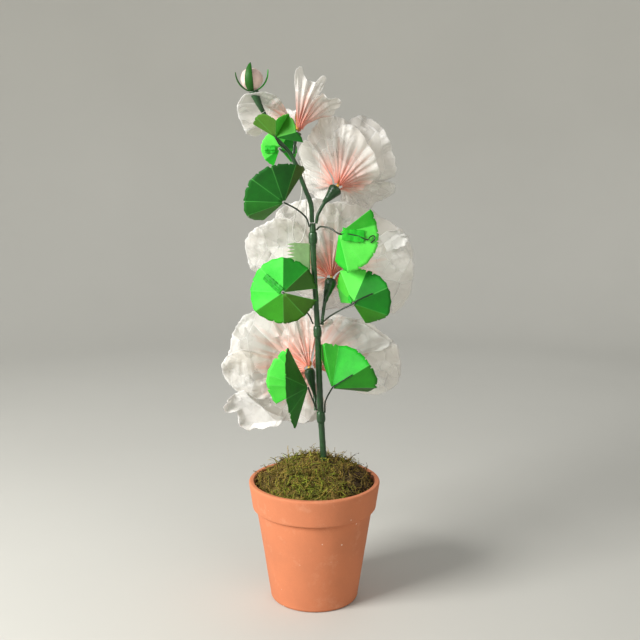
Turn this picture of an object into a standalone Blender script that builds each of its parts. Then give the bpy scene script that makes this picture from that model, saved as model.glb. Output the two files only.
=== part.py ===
"""Potted paper hollyhock: four tissue flowers, a bud and eight folded leaves on a taped stem.

Lengths are metres and angles are degrees. +Z is up, the front of the plant faces -Y.
Everything is placed from the pot's axis, which the empty "pot_axis" carries, so the
whole plant can be shifted at once.
"""
import math

import bmesh
import bpy
import numpy as np
from mathutils import Matrix, Vector

# ---- Where the pot stands, so that the whole plant is centred on the origin ----
POT_AXIS = (-0.0023, -0.0108, 0.0)

# ---- Clay pot ----
POT_HEIGHT = 0.122
POT_RIM_RADIUS = 0.065
POT_BASE_RADIUS = 0.0441
POT_BAND_HEIGHT = 0.0275
POT_BAND_STEP = 0.0040
POT_SHOULDER_RADIUS = 0.0578
POT_WALL = 0.0062
POT_LIP = 0.0052
POT_FLOOR = 0.0090
DRAIN_RADIUS = 0.0080
POT_SEGMENTS = 40

# ---- Fit between pieces that touch ----
GAP = 0.0004

# ---- Filler and moss ----
FILLER_TOP = 0.100
MOSS_EDGE_HEIGHT = 0.1165
MOSS_DOME = 0.0220
MOSS_LUMP = 0.0040
MOSS_SEGMENTS = 30
MOSS_RINGS = 7

# ---- Stem: centre line (x, y, z) and radius ----
STEM_FOOT = (0.0165, 0.0, 0.020)
STEM_ENTRY = (0.0091, 0.0, 0.1437)
STEM_LINE = [
    STEM_FOOT + (0.0031,),
    STEM_ENTRY + (0.0031,),
    (0.0061, 0.0, 0.1931, 0.0031),
    (0.0040, 0.0, 0.2436, 0.0031),
    (0.0028, 0.0, 0.2785, 0.0027),
    (-0.0005, 0.0, 0.3371, 0.0027),
    (-0.0014, 0.0, 0.3660, 0.0031),
    (-0.0016, 0.0, 0.3772, 0.0029),
]
BUD_STALK_LINE = [
    (-0.0022, 0.0, 0.3778, 0.0022),
    (-0.0032, 0.0, 0.3945, 0.0023),
    (-0.0084, 0.0, 0.4087, 0.0022),
    (-0.0127, 0.0, 0.4199, 0.0021),
    (-0.0169, 0.0, 0.4312, 0.0021),
    (-0.0228, 0.0, 0.4425, 0.0019),
    (-0.0289, -0.0020, 0.4498, 0.0018),
    (-0.0353, -0.0030, 0.4573, 0.0018),
    (-0.0423, -0.0050, 0.4716, 0.0018),
    (-0.0473, -0.0060, 0.4805, 0.0020),
]
STEM_SIDES = 10

# ---- Tape wraps: centre height on the stem, length and thickness ----
WRAPS = {"tape_wrap_low": 0.1860, "tape_wrap_mid": 0.2720, "tape_wrap_high": 0.3630}
WRAP_LENGTH = 0.010
WRAP_THICKNESS = 0.0007

# ---- Flowers ----
PAPER = 0.0005
CALYX_PROFILE = [
    (0.00, 0.30), (0.22, 0.42), (0.50, 0.68), (0.75, 0.92), (0.90, 1.00), (1.00, 0.80),
]
CENTRE_PROFILE = [
    (0.00, 0.0016), (0.45, 0.0016), (0.60, 0.0024), (0.85, 0.0024), (1.00, 0.0012),
]
CENTRE_LENGTH = 0.020
PETAL_RING = 0.0050
PETAL_LIFT = 0.0030
PETAL_LAYER = 0.0012
PETAL_BASE_LEAN = 15
PETAL_FLARE = 0.010
PETAL_BASE_ANGLE = 26
PETAL_SHOULDER = 0.34
PETAL_BLEND = 6.0
PETAL_ROWS = 9
PETAL_ROW_CROWDING = 1.5
PETAL_COLUMNS = 7
# Each flower has the calyx's foot and head, its radius, the way the open flower faces, the
# stalk's stations, and five petals as (turn round the face, opening from the face's
# direction, length, half of the angle it covers, layer counted inwards).
FLOWERS = {
    "top": {
        "foot": (-0.0182, 0.0022, 0.4530), "head": (-0.0164, 0.0040, 0.4622),
        "radius": 0.0046, "face": (0.05, 0.50, 0.86),
        "stalk": [(-0.0196, 0.0010, 0.4440, 0.0016), (-0.0188, 0.0018, 0.4500, 0.0016)],
        "petals": [(88, 50, 0.058, 12, 0), (56, 50, 0.055, 12, 1), (6, 70, 0.046, 26, 0),
                   (-140, 34, 0.066, 40, 1), (184, 72, 0.057, 40, 2)],
    },
    "right": {
        "foot": (0.0092, 0.0015, 0.3964), "head": (0.0213, 0.0080, 0.4100),
        "radius": 0.0064, "face": (0.26, 0.84, 0.48),
        "stalk": [(0.0022, 0.0, 0.3790, 0.0015), (0.0040, 0.0003, 0.3870, 0.0015),
                  (0.0088, 0.0013, 0.3955, 0.0017)],
        "petals": [(70, 46, 0.064, 36, 0), (116, 58, 0.067, 36, 1), (170, 56, 0.060, 46, 0),
                   (-49, 54, 0.067, 48, 1), (29, 62, 0.066, 46, 2)],
    },
    "middle": {
        "foot": (0.0098, 0.0050, 0.2988), "head": (0.0168, 0.0150, 0.3210),
        "radius": 0.0060, "face": (0.0, 0.93, 0.36),
        "stalk": [(0.0076, 0.0010, 0.2810, 0.0015), (0.0085, 0.0025, 0.2900, 0.0015),
                  (0.0096, 0.0045, 0.2978, 0.0017)],
        "petals": [(158, 78, 0.089, 38, 0), (114, 72, 0.078, 38, 1), (54, 68, 0.084, 40, 0),
                   (-8, 78, 0.085, 44, 1), (-98, 58, 0.078, 52, 2)],
    },
    "bottom": {
        "foot": (0.0006, 0.0056, 0.2058), "head": (-0.0053, 0.0190, 0.2300),
        "radius": 0.0054, "face": (0.0, 0.98, 0.12),
        "stalk": [(0.0010, 0.0010, 0.1950, 0.0015), (0.0008, 0.0030, 0.2000, 0.0015),
                  (0.0007, 0.0046, 0.2050, 0.0017)],
        "petals": [(156, 82, 0.086, 36, 0), (102, 62, 0.064, 42, 1), (6, 82, 0.096, 44, 0),
                   (-126, 68, 0.093, 44, 1), (-171, 80, 0.092, 34, 2)],
    },
}

# ---- Bud ----
BUD_CENTRE = (-0.0578, -0.0090, 0.5105)
BUD_RADIUS = 0.0103
BUD_CALYX_LINE = [
    (-0.0476, -0.0061, 0.4810, 0.0020),
    (-0.0505, -0.0070, 0.4865, 0.0026),
    (-0.0530, -0.0078, 0.4920, 0.0034),
    (-0.0560, -0.0086, 0.5000, 0.0044),
]
# Sepals: direction round the bud, and the angle from the bud's foot to the tip.
SEPALS = [(-100, 150), (165, 120), (20, 125)]

# ---- Leaves ----
# Each leaf: hub, radius, creases as (angle in the XZ plane, lean towards the front), and
# the wire that carries it.
LEAVES = {
    "top_front": {
        "hub": (-0.0360, -0.0120, 0.4575), "radius": 0.026,
        "creases": [(150, -20), (134, 0), (85, 55), (60, 20), (14, 40), (-10, 10)],
        "wire": [(-0.0300, -0.0050, 0.4490), (-0.0330, -0.0095, 0.4520)],
    },
    "top_back": {
        "hub": (-0.0330, 0.0110, 0.4470), "radius": 0.018,
        "creases": [(250, -20), (215, -10), (160, 0), (110, -10), (60, -25), (0, -25),
                    (-50, -15)],
        "wire": [(-0.0262, 0.0025, 0.4455), (-0.0290, 0.0060, 0.4440)],
    },
    "high_left": {
        "hub": (-0.0283, -0.0200, 0.3980), "radius": 0.038,
        "creases": [(57, -20), (72, 10), (108, 20), (143, 15), (178, 0), (200, -8),
                    (222, -45)],
        "wire": [(-0.0048, -0.0020, 0.3740), (-0.0080, -0.0060, 0.3830),
                 (-0.0170, -0.0130, 0.3915)],
    },
    "high_right": {
        "hub": (0.0230, -0.0200, 0.3690), "radius": 0.038,
        "creases": [(37, -10), (12, -15), (-18, 0), (-50, 0), (-76, 0), (-96, -40)],
        "wire": [(0.0022, -0.0022, 0.3712), (0.0060, -0.0080, 0.3745),
                 (0.0150, -0.0160, 0.3735)],
    },
    "middle_left": {
        "hub": (-0.0297, -0.0200, 0.3133), "radius": 0.034,
        "creases": [(345, -12), (310, -20), (270, -20), (216, -14), (180, -20), (135, -20),
                    (90, -14), (42, -20), (4, -20)],
        "wire": [(-0.0014, -0.0010, 0.2800), (-0.0060, -0.0050, 0.2900),
                 (-0.0165, -0.0080, 0.3010), (-0.0262, -0.0105, 0.3090)],
    },
    "middle_right": {
        "hub": (0.0366, -0.0200, 0.3028), "radius": 0.037,
        "creases": [(205, -72), (140, -58), (112, -33), (65, -26), (25, 0), (-20, -8),
                    (-60, -42)],
        "wire": [(0.0062, -0.0022, 0.2800), (0.0150, -0.0110, 0.2890),
                 (0.0270, -0.0180, 0.2975)],
    },
    "low_left": {
        "hub": (-0.0062, -0.0120, 0.2192), "radius": 0.043,
        "creases": [(214, -25), (181, -15), (165, -10), (135, -8), (116, 0), (139, 50),
                    (185, 62), (225, 55), (252, 25)],
        "wire": [(0.0024, -0.0040, 0.1940), (-0.0010, -0.0080, 0.2040)],
    },
    "low_right": {
        "hub": (0.0172, -0.0120, 0.2182), "radius": 0.044,
        "creases": [(112, -36), (101, -8), (80, -25), (33, 0), (0, -4), (-14, -30)],
        "wire": [(0.0104, -0.0022, 0.1915), (0.0108, -0.0080, 0.2040)],
    },
}
LEAF_THICKNESS = 0.0005
LEAF_HUB_HOLE = 0.0024
LEAF_NOTCH = 0.045
LEAF_STEP_ANGLE = 12
WIRE_RADIUS = 0.0008
WIRE_SIDES = 6

# ---- Tag on its thread ----
TAG_CENTRE = (-0.0150, 0.0085, 0.3420)
TAG_SIZE = (0.022, 0.030)
TAG_THICKNESS = 0.0006
THREAD_RADIUS = 0.0005
THREAD_LINE = [
    (-0.0150, 0.0036, 0.4385), (-0.0134, 0.0040, 0.4320), (-0.0116, 0.0044, 0.4180),
    (-0.0126, 0.0050, 0.4020), (-0.0168, 0.0060, 0.3900), (-0.0200, 0.0070, 0.3760),
    (-0.0208, 0.0078, 0.3650), (-0.0182, 0.0084, 0.3590), (-0.0150, 0.0085, 0.3578),
    (-0.0118, 0.0085, 0.3605), (-0.0088, 0.0084, 0.3700), (-0.0076, 0.0082, 0.3840),
    (-0.0082, 0.0078, 0.4020), (-0.0094, 0.0068, 0.4180), (-0.0116, 0.0060, 0.4320),
    (-0.0138, 0.0052, 0.4390),
]
THREAD_POINTS = 60

# ---- Colours (linear) and roughness ----
TERRACOTTA = (0.62, 0.24, 0.13, 1.0)
FOAM = (0.12, 0.22, 0.08, 1.0)
MOSS = (0.16, 0.17, 0.03, 1.0)
TAPE_GREEN = (0.01, 0.09, 0.02, 1.0)
LEAF_GREEN = (0.03, 0.55, 0.03, 1.0)
TISSUE = (0.85, 0.74, 0.70, 1.0)
STAMEN = (0.80, 0.60, 0.12, 1.0)
BUD_PINK = (0.85, 0.55, 0.45, 1.0)
TAG_GREEN = (0.45, 0.62, 0.36, 1.0)
THREAD_WHITE = (0.75, 0.75, 0.70, 1.0)


def clear_scene():
    """Remove every object, so that the file can be run again."""
    for item in list(bpy.data.objects):
        bpy.data.objects.remove(item, do_unlink=True)


def plain_material(name, colour, roughness):
    """Return a Principled material of one colour."""
    material = bpy.data.materials.new(name)
    material.use_nodes = True
    shader = material.node_tree.nodes["Principled BSDF"]
    shader.inputs["Base Color"].default_value = colour
    shader.inputs["Roughness"].default_value = roughness
    shader.inputs["Metallic"].default_value = 0.0
    material.diffuse_color = colour
    return material


def place(item, parent, colour, roughness, smooth_angle=None):
    """Link an object under the pot's axis and give it its own material."""
    bpy.context.collection.objects.link(item)
    item.parent = parent
    item.data.materials.append(plain_material(item.name + "_finish", colour, roughness))
    if smooth_angle is not None:
        item.data.shade_smooth()
        item.data.set_sharp_from_angle(angle=math.radians(smooth_angle))
    return item


def mesh_object(name, points, faces):
    """Return an unlinked object from points and faces."""
    mesh = bpy.data.meshes.new(name)
    mesh.from_pydata([tuple(map(float, point)) for point in points], [], faces)
    mesh.validate()
    shape = bmesh.new()
    shape.from_mesh(mesh)
    bmesh.ops.recalc_face_normals(shape, faces=shape.faces)
    shape.to_mesh(mesh)
    shape.free()
    return bpy.data.objects.new(name, mesh)


def turned_loop(name, profile, segments):
    """Turn a closed (radius, height) loop about Z into a ring-shaped solid."""
    count = len(profile)
    points = []
    for step in range(segments):
        turn = 2 * math.pi * step / segments
        points += [(r * math.cos(turn), r * math.sin(turn), z) for r, z in profile]
    faces = []
    for step in range(segments):
        here, there = step * count, (step + 1) % segments * count
        for k in range(count):
            after = (k + 1) % count
            faces.append((here + k, there + k, there + after, here + after))
    return mesh_object(name, points, faces)


def smooth_line(points, count):
    """Read a Catmull-Rom curve through the points at evenly spaced parameters."""
    line = np.array(points, dtype=float)
    ends = np.vstack([2 * line[0] - line[1], line, 2 * line[-1] - line[-2]])
    place_on = np.linspace(0, len(line) - 1, count)
    span = np.minimum(place_on.astype(int), len(line) - 2)
    t = (place_on - span)[:, None]
    a, b, c, d = ends[span], ends[span + 1], ends[span + 2], ends[span + 3]
    return 0.5 * (2 * b + (c - a) * t + (2 * a - 5 * b + 4 * c - d) * t ** 2
                  + (3 * b - a - 3 * c + d) * t ** 3)


def carried_frames(line):
    """Return two side vectors at each point of a line, carried along without twist."""
    tangents = np.gradient(line, axis=0)
    tangents /= np.linalg.norm(tangents, axis=1)[:, None]
    side = np.cross(tangents[0], (0.0, 1.0, 0.0))
    sides = []
    for tangent in tangents:
        side = side - tangent * np.dot(side, tangent)
        side = side / np.linalg.norm(side)
        sides.append(side)
    sides = np.array(sides)
    return sides, np.cross(tangents, sides)


def round_bar(name, stations, sides, count=None):
    """Sweep a circle of changing radius along (x, y, z, radius) stations, ends closed."""
    stations = smooth_line(stations, count) if count else np.array(stations, dtype=float)
    line, radii = stations[:, :3], stations[:, 3]
    across, up = carried_frames(line)
    turn = np.linspace(0, 2 * math.pi, sides, endpoint=False)
    rings = (line[:, None] + radii[:, None, None] * (
        np.cos(turn)[None, :, None] * across[:, None]
        + np.sin(turn)[None, :, None] * up[:, None]))
    points = list(rings.reshape(-1, 3))
    faces = []
    for row in range(len(line) - 1):
        for k in range(sides):
            after = (k + 1) % sides
            faces.append((row * sides + k, row * sides + after,
                          (row + 1) * sides + after, (row + 1) * sides + k))
    faces.append(tuple(range(sides))[::-1])
    faces.append(tuple((len(line) - 1) * sides + k for k in range(sides)))
    return mesh_object(name, points, faces)


def sheet_solid(name, grid, thickness):
    """Give a grid of points a thickness, half to each side, and close its edge.

    Both sides are split along the same diagonals, so that they stay apart.
    """
    along = np.gradient(grid, axis=0)
    across = np.gradient(grid, axis=1)
    normal = np.cross(along, across)
    normal /= np.linalg.norm(normal, axis=2)[:, :, None]
    rows, columns = grid.shape[:2]
    upper = (grid + normal * thickness / 2).reshape(-1, 3)
    lower = (grid - normal * thickness / 2).reshape(-1, 3)
    half = rows * columns

    def corner(row, column):
        return row * columns + column

    faces = []
    for row in range(rows - 1):
        for column in range(columns - 1):
            first, far = corner(row, column), corner(row + 1, column + 1)
            for other in ((first, first + columns, far), (first, far, first + 1)):
                faces.append(other)
                faces.append(tuple(half + k for k in reversed(other)))
    rim = [corner(0, k) for k in range(columns)]
    rim += [corner(k, columns - 1) for k in range(1, rows)]
    rim += [corner(rows - 1, k) for k in range(columns - 2, -1, -1)]
    rim += [corner(k, 0) for k in range(rows - 2, 0, -1)]
    for here, there in zip(rim, rim[1:] + rim[:1]):
        faces.append((here, there, half + there, half + here))
    return mesh_object(name, np.vstack([upper, lower]), faces)


def straight_cutter(name, foot, head, radius):
    """Return a hidden cylinder from foot to head, for cutting a hole."""
    foot, head = Vector(foot), Vector(head)
    shape = bmesh.new()
    turn = (head - foot).to_track_quat("Z", "Y").to_matrix().to_4x4()
    bmesh.ops.create_cone(shape, cap_ends=True, segments=16, radius1=radius,
                          radius2=radius, depth=(head - foot).length,
                          matrix=Matrix.Translation((foot + head) / 2) @ turn)
    mesh = bpy.data.meshes.new(name)
    shape.to_mesh(mesh)
    shape.free()
    cutter = bpy.data.objects.new(name, mesh)
    bpy.context.collection.objects.link(cutter)
    cutter.hide_render = True
    cutter.display_type = "WIRE"
    return cutter


def cut(item, cutter):
    """Cut a hole with a Boolean modifier."""
    modifier = item.modifiers.new("stem_hole", "BOOLEAN")
    modifier.operation = "DIFFERENCE"
    modifier.object = cutter


def pot_inner_radius(height):
    """Return the pot's inner radius at a height between its floor and its lip."""
    shoulder = POT_HEIGHT - POT_BAND_HEIGHT
    if height < shoulder:
        share = (height - POT_FLOOR) / (shoulder - POT_FLOOR)
        low = POT_BASE_RADIUS - POT_WALL + 0.001
        return low + share * (POT_SHOULDER_RADIUS - POT_WALL - low)
    share = (height - shoulder) / POT_BAND_HEIGHT
    low = POT_SHOULDER_RADIUS - POT_WALL
    return low + share * (POT_RIM_RADIUS - POT_LIP - low)


def add_pot(parent):
    """Turn the clay pot, with its band, lip and drain hole."""
    shoulder = POT_HEIGHT - POT_BAND_HEIGHT
    band_foot = POT_SHOULDER_RADIUS + POT_BAND_STEP
    profile = [
        (DRAIN_RADIUS, 0.0),
        (POT_BASE_RADIUS - 0.0030, 0.0),
        (POT_BASE_RADIUS - 0.0008, 0.0010),
        (POT_BASE_RADIUS, 0.0030),
        (POT_SHOULDER_RADIUS, shoulder),
        (band_foot - 0.0012, shoulder + 0.0003),
        (band_foot, shoulder + 0.0022),
        (POT_RIM_RADIUS, POT_HEIGHT - 0.0018),
        (POT_RIM_RADIUS - 0.0014, POT_HEIGHT),
        (POT_RIM_RADIUS - POT_LIP + 0.0014, POT_HEIGHT),
        (POT_RIM_RADIUS - POT_LIP, POT_HEIGHT - 0.0018),
        (pot_inner_radius(shoulder), shoulder),
        (pot_inner_radius(POT_FLOOR + 0.0040), POT_FLOOR + 0.0040),
        (pot_inner_radius(POT_FLOOR) - 0.0040, POT_FLOOR),
        (DRAIN_RADIUS, POT_FLOOR),
    ]
    place(turned_loop("pot", profile, POT_SEGMENTS), parent, TERRACOTTA, 0.85, 35)


def add_filler(parent, stem_cutter):
    """Fill the pot below the moss with a block that holds the stem."""
    foot = POT_FLOOR + GAP
    levels = [foot + 0.0040, POT_HEIGHT - POT_BAND_HEIGHT, FILLER_TOP]
    centre = 0.0006
    profile = [(centre, foot), (pot_inner_radius(foot) - 0.0046, foot)]
    profile += [(pot_inner_radius(z) - GAP, z) for z in levels]
    profile += [(centre, FILLER_TOP)]
    item = place(turned_loop("filler_block", profile, POT_SEGMENTS), parent, FOAM, 0.9)
    cut(item, stem_cutter)


def moss_height(reach, turn):
    """Return the mound's height at a share of its radius and a direction."""
    x, y = reach * np.cos(turn), reach * np.sin(turn)
    dome = MOSS_DOME * (1 - reach ** 2) ** 0.8 * (1 + 0.18 * x + 0.22 * y)
    lumps = np.sin(5.1 * x + 0.7) * np.cos(4.3 * y - 0.4) + 0.6 * np.sin(9.2 * y + 6.1 * x)
    return MOSS_EDGE_HEIGHT + dome + MOSS_LUMP * lumps * (1 - reach ** 4)


def add_moss(parent, stem_cutter):
    """Heap the moss over the filler, clear of the pot's lip."""
    foot = FILLER_TOP + GAP
    foot_radius = pot_inner_radius(foot) - GAP
    edge_radius = pot_inner_radius(MOSS_EDGE_HEIGHT) - 0.0012
    turn = np.linspace(0, 2 * math.pi, MOSS_SEGMENTS, endpoint=False)
    points = [(0.0, 0.0, foot)]
    points += [(foot_radius * math.cos(a), foot_radius * math.sin(a), foot) for a in turn]
    for ring in range(MOSS_RINGS):
        reach = 1 - ring / MOSS_RINGS
        heights = moss_height(reach, turn)
        radius = edge_radius * reach
        points += list(zip(radius * np.cos(turn), radius * np.sin(turn), heights))
    points.append((0.0, 0.0, float(moss_height(0.0, 0.0))))
    count = MOSS_SEGMENTS
    faces = []
    for k in range(count):
        after = (k + 1) % count
        faces.append((0, 1 + after, 1 + k))
        for ring in range(MOSS_RINGS):
            low = 1 + ring * count
            faces.append((low + k, low + after, low + count + after, low + count + k))
        top = 1 + MOSS_RINGS * count
        faces.append((top + k, top + after, len(points) - 1))
    item = place(mesh_object("moss", points, faces), parent, MOSS, 1.0)
    cut(item, stem_cutter)


def add_stem(parent):
    """Sweep the taped main stem and the stalk that runs on to the bud."""
    item = round_bar("main_stem", STEM_LINE, STEM_SIDES, 22)
    place(item, parent, TAPE_GREEN, 0.45, 40)
    item = round_bar("bud_stalk", BUD_STALK_LINE, 8, 22)
    place(item, parent, TAPE_GREEN, 0.45, 40)


def stem_point(height):
    """Return the stem's centre and radius at a height."""
    fine = smooth_line(STEM_LINE, 200)
    return np.array([np.interp(height, fine[:, 2], fine[:, k]) for k in range(4)])


def add_wraps(parent):
    """Wrap a band of tape round the stem below each joint."""
    for name, height in WRAPS.items():
        low, high = stem_point(height - WRAP_LENGTH / 2), stem_point(height + WRAP_LENGTH / 2)
        lean = Vector(high[:3] - low[:3]).to_track_quat("Z", "Y")
        inner = max(low[3], high[3]) + GAP
        outer = inner + WRAP_THICKNESS
        half = WRAP_LENGTH / 2
        item = turned_loop(name, [(inner, -half), (outer, -half), (outer, half), (inner, half)],
                           16)
        item.location = (low[:3] + high[:3]) / 2
        item.rotation_mode = "QUATERNION"
        item.rotation_quaternion = lean
        place(item, parent, TAPE_GREEN, 0.45, 40)


def face_frame(face):
    """Return the unit vectors right, up and out of a flower that faces a direction."""
    out = np.array(face) / np.linalg.norm(face)
    right = np.array((1.0, 0.0, 0.0)) - out * out[0]
    right /= np.linalg.norm(right)
    return right, np.cross(right, out), out


def opening(turn, petals):
    """Return how far the bowl opens at a turn: the petals' own openings, blended."""
    total, weights = 0.0, 0.0
    for centre, wide, *_ in petals:
        weight = np.exp(PETAL_BLEND * np.cos(turn - math.radians(centre)))
        total = total + weight * math.radians(wide)
        weights = weights + weight
    return total / weights


def petal_grid(flower, petal, rows, columns):
    """Return the grid of one petal, part of the bowl that its flower's petals share.

    The bowl leaves a ring round the flower's axis at a small lean. The lean grows to the
    opening at that turn as one minus a falling exponential, and the mean sine and cosine
    of the lean over the way give the distance from the axis and along it. A petal is a
    sector of the bowl with half an ellipse for its rim, lifted inwards by its layer.
    """
    centre, _, length, half_angle, layer = petal
    right, up, out = face_frame(flower["face"])
    u = np.linspace(0, 1, rows)[:, None] ** PETAL_ROW_CROWDING
    v = np.linspace(-1, 1, columns)[None, :]
    rim = 1 - PETAL_SHOULDER * (1 - np.sqrt(np.maximum(1 - v ** 2, 0)))
    way = u * rim * length
    widening = 1 - np.exp(-4 * u)
    spread = PETAL_BASE_ANGLE + (half_angle - PETAL_BASE_ANGLE) * widening
    turn = np.radians(centre + spread * v)
    base_lean = math.radians(PETAL_BASE_LEAN)
    wide = opening(turn, flower["petals"])
    steps = (np.arange(16) + 0.5) / 16
    lean = (wide[:, :, None] - (wide[:, :, None] - base_lean)
            * np.exp(-way[:, :, None] * steps / PETAL_FLARE))
    last = wide - (wide - base_lean) * np.exp(-way / PETAL_FLARE)
    away = PETAL_RING + way * np.sin(lean).mean(axis=2) - layer * PETAL_LAYER * np.cos(last)
    along = PETAL_LIFT + way * np.cos(lean).mean(axis=2) + layer * PETAL_LAYER * np.sin(last)
    away, along, turn = away[:, :, None], along[:, :, None], turn[:, :, None]
    return (np.array(flower["head"]) + out * along
            + (right * np.cos(turn) + up * np.sin(turn)) * away)


def along_axis(profile, foot, head, count=None):
    """Turn (share of length, radius) pairs into stations between two points."""
    foot, head = np.array(foot), np.array(head)
    return [tuple(foot + (head - foot) * share) + (radius,) for share, radius in profile]


def add_flower(parent, name, flower):
    """Build one flower: stalk, calyx, centre and petals."""
    foot, head = np.array(flower["foot"]), np.array(flower["head"])
    item = round_bar(f"flower_{name}_stalk", flower["stalk"], 8, 8)
    place(item, parent, TAPE_GREEN, 0.45, 40)
    profile = [(share, radius * flower["radius"]) for share, radius in CALYX_PROFILE]
    item = round_bar(f"flower_{name}_calyx", along_axis(profile, foot, head), 14)
    place(item, parent, TAPE_GREEN, 0.45, 40)
    out = face_frame(flower["face"])[2]
    start = head + out * PETAL_LIFT
    item = round_bar(f"flower_{name}_centre",
                     along_axis(CENTRE_PROFILE, start, start + out * CENTRE_LENGTH), 8)
    place(item, parent, STAMEN, 0.8, 40)
    for number, petal in enumerate(flower["petals"], 1):
        grid = petal_grid(flower, petal, PETAL_ROWS, PETAL_COLUMNS)
        item = sheet_solid(f"flower_{name}_petal_{number}", grid, PAPER)
        place(item, parent, TISSUE, 0.5, 60)


def add_bud(parent):
    """Build the closed bud, and the calyx whose sepals clasp it."""
    shape = bmesh.new()
    bmesh.ops.create_uvsphere(shape, u_segments=20, v_segments=12, radius=BUD_RADIUS)
    mesh = bpy.data.meshes.new("bud")
    shape.to_mesh(mesh)
    shape.free()
    item = bpy.data.objects.new("bud", mesh)
    item.location = BUD_CENTRE
    place(item, parent, BUD_PINK, 0.6, 60)
    calyx = round_bar("bud_calyx", BUD_CALYX_LINE, 12)
    place(calyx, parent, TAPE_GREEN, 0.45, 40)
    for number, (turn, end) in enumerate(SEPALS, 1):
        sepal = sepal_cutter(f"sepal_{number}_shape", turn, end)
        sepal.parent = parent
        modifier = calyx.modifiers.new(f"sepal_{number}", "BOOLEAN")
        modifier.operation = "UNION"
        modifier.object = sepal


def sepal_cutter(name, turn, end):
    """Return a hidden strip that climbs the bud from its foot and narrows to a tip."""
    u = np.linspace(0, 1, 7)[:, None]
    v = np.linspace(-1, 1, 3)[None, :]
    polar = np.radians(12 + (end - 12) * u)
    reach = BUD_RADIUS + 0.0009 + 0.0020 * u ** 2
    half = 0.0034 * np.sin(math.pi * (0.15 + 0.85 * u)) ** 0.6 + 0.0003
    swing = np.radians(turn) + half * v / np.maximum(reach * np.sin(polar), 0.002)
    grid = np.stack([reach * np.sin(polar) * np.cos(swing),
                     reach * np.sin(polar) * np.sin(swing),
                     -reach * np.cos(polar) * np.ones_like(v)], axis=2)
    item = sheet_solid(name, grid + np.array(BUD_CENTRE), 0.0006)
    bpy.context.collection.objects.link(item)
    item.hide_render = True
    item.display_type = "WIRE"
    return item


def crease_direction(angle, lean):
    """Return the unit vector of a crease from its angle in XZ and its lean to the front."""
    angle, lean = math.radians(angle), math.radians(lean)
    return np.array([math.cos(angle) * math.cos(lean), -math.sin(lean),
                     math.sin(angle) * math.cos(lean)])


def leaf_grid(hub, radius, creases):
    """Return the grid of a folded leaf: flat sectors between creases that meet at the hub.

    The rim is an arc of the leaf's radius, cut back in shallow scallops.
    """
    rays = [crease_direction(*creases[0])]
    for here, there in zip(creases, creases[1:]):
        start, stop = crease_direction(*here), crease_direction(*there)
        opening = math.acos(float(np.clip(np.dot(start, stop), -1, 1)))
        steps = max(2, round(math.degrees(opening) / LEAF_STEP_ANGLE))
        for step in range(1, steps + 1):
            share = step / steps
            rays.append((math.sin((1 - share) * opening) * start
                         + math.sin(share * opening) * stop) / math.sin(opening))
    rays = np.array(rays)
    scallop = 1 - LEAF_NOTCH * (np.arange(len(rays)) % 2)
    shares = np.array([0.0, 0.5, 1.0])
    reach = LEAF_HUB_HOLE + shares[:, None] * (radius * scallop - LEAF_HUB_HOLE)[None, :]
    return np.array(hub) + reach[:, :, None] * rays[None, :, :]


def add_leaf(parent, name, leaf):
    """Build one folded leaf and the wire that carries it."""
    grid = leaf_grid(leaf["hub"], leaf["radius"], leaf["creases"])
    place(sheet_solid(f"leaf_{name}", grid, LEAF_THICKNESS), parent, LEAF_GREEN, 0.55)
    line = [tuple(point) + (WIRE_RADIUS,) for point in leaf["wire"] + [leaf["hub"]]]
    place(round_bar(f"leaf_{name}_wire", line, WIRE_SIDES, 8), parent, TAPE_GREEN, 0.5, 40)


def add_tag(parent):
    """Hang the blank tag, with cuts along one side, on its thread."""
    width, height = TAG_SIZE
    rows, columns = 13, 4
    z = np.linspace(0, -height, rows)[:, None]
    x = np.linspace(-0.5, 0.5, columns)[None, :]
    fringe = np.where(np.arange(rows)[:, None] % 2 == 0, 1.0, 0.78)
    x = np.where(x < -0.4, x * fringe, x) * width
    grid = np.stack([x + 0 * z, 0 * x + 0 * z, z + 0 * x + height / 2], axis=2)
    item = sheet_solid("tag", grid + np.array(TAG_CENTRE), TAG_THICKNESS)
    place(item, parent, TAG_GREEN, 0.6)
    curve = bpy.data.curves.new("tag_thread", "CURVE")
    curve.dimensions = "3D"
    curve.bevel_depth = THREAD_RADIUS
    curve.bevel_resolution = 2
    curve.use_fill_caps = True
    curve.render_resolution_u = 0
    line = smooth_line(THREAD_LINE, THREAD_POINTS)
    spline = curve.splines.new("POLY")
    spline.points.add(len(line) - 1)
    for point, where in zip(spline.points, line):
        point.co = (*where, 1.0)
    item = bpy.data.objects.new("tag_thread", curve)
    place(item, parent, THREAD_WHITE, 0.8)


def build():
    """Make the whole plant."""
    clear_scene()
    axis = bpy.data.objects.new("pot_axis", None)
    axis.location = POT_AXIS
    bpy.context.collection.objects.link(axis)
    foot, entry = Vector(STEM_FOOT), Vector(STEM_ENTRY)
    lean = (entry - foot).normalized()
    cutter = straight_cutter("stem_hole_shape", foot - lean * GAP, entry + lean * 0.03,
                             STEM_LINE[0][3] + GAP)
    cutter.parent = axis
    add_pot(axis)
    add_filler(axis, cutter)
    add_moss(axis, cutter)
    add_stem(axis)
    add_wraps(axis)
    for name, flower in FLOWERS.items():
        add_flower(axis, name, flower)
    add_bud(axis)
    for name, leaf in LEAVES.items():
        add_leaf(axis, name, leaf)
    add_tag(axis)


build()
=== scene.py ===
import itertools
import math

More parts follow.
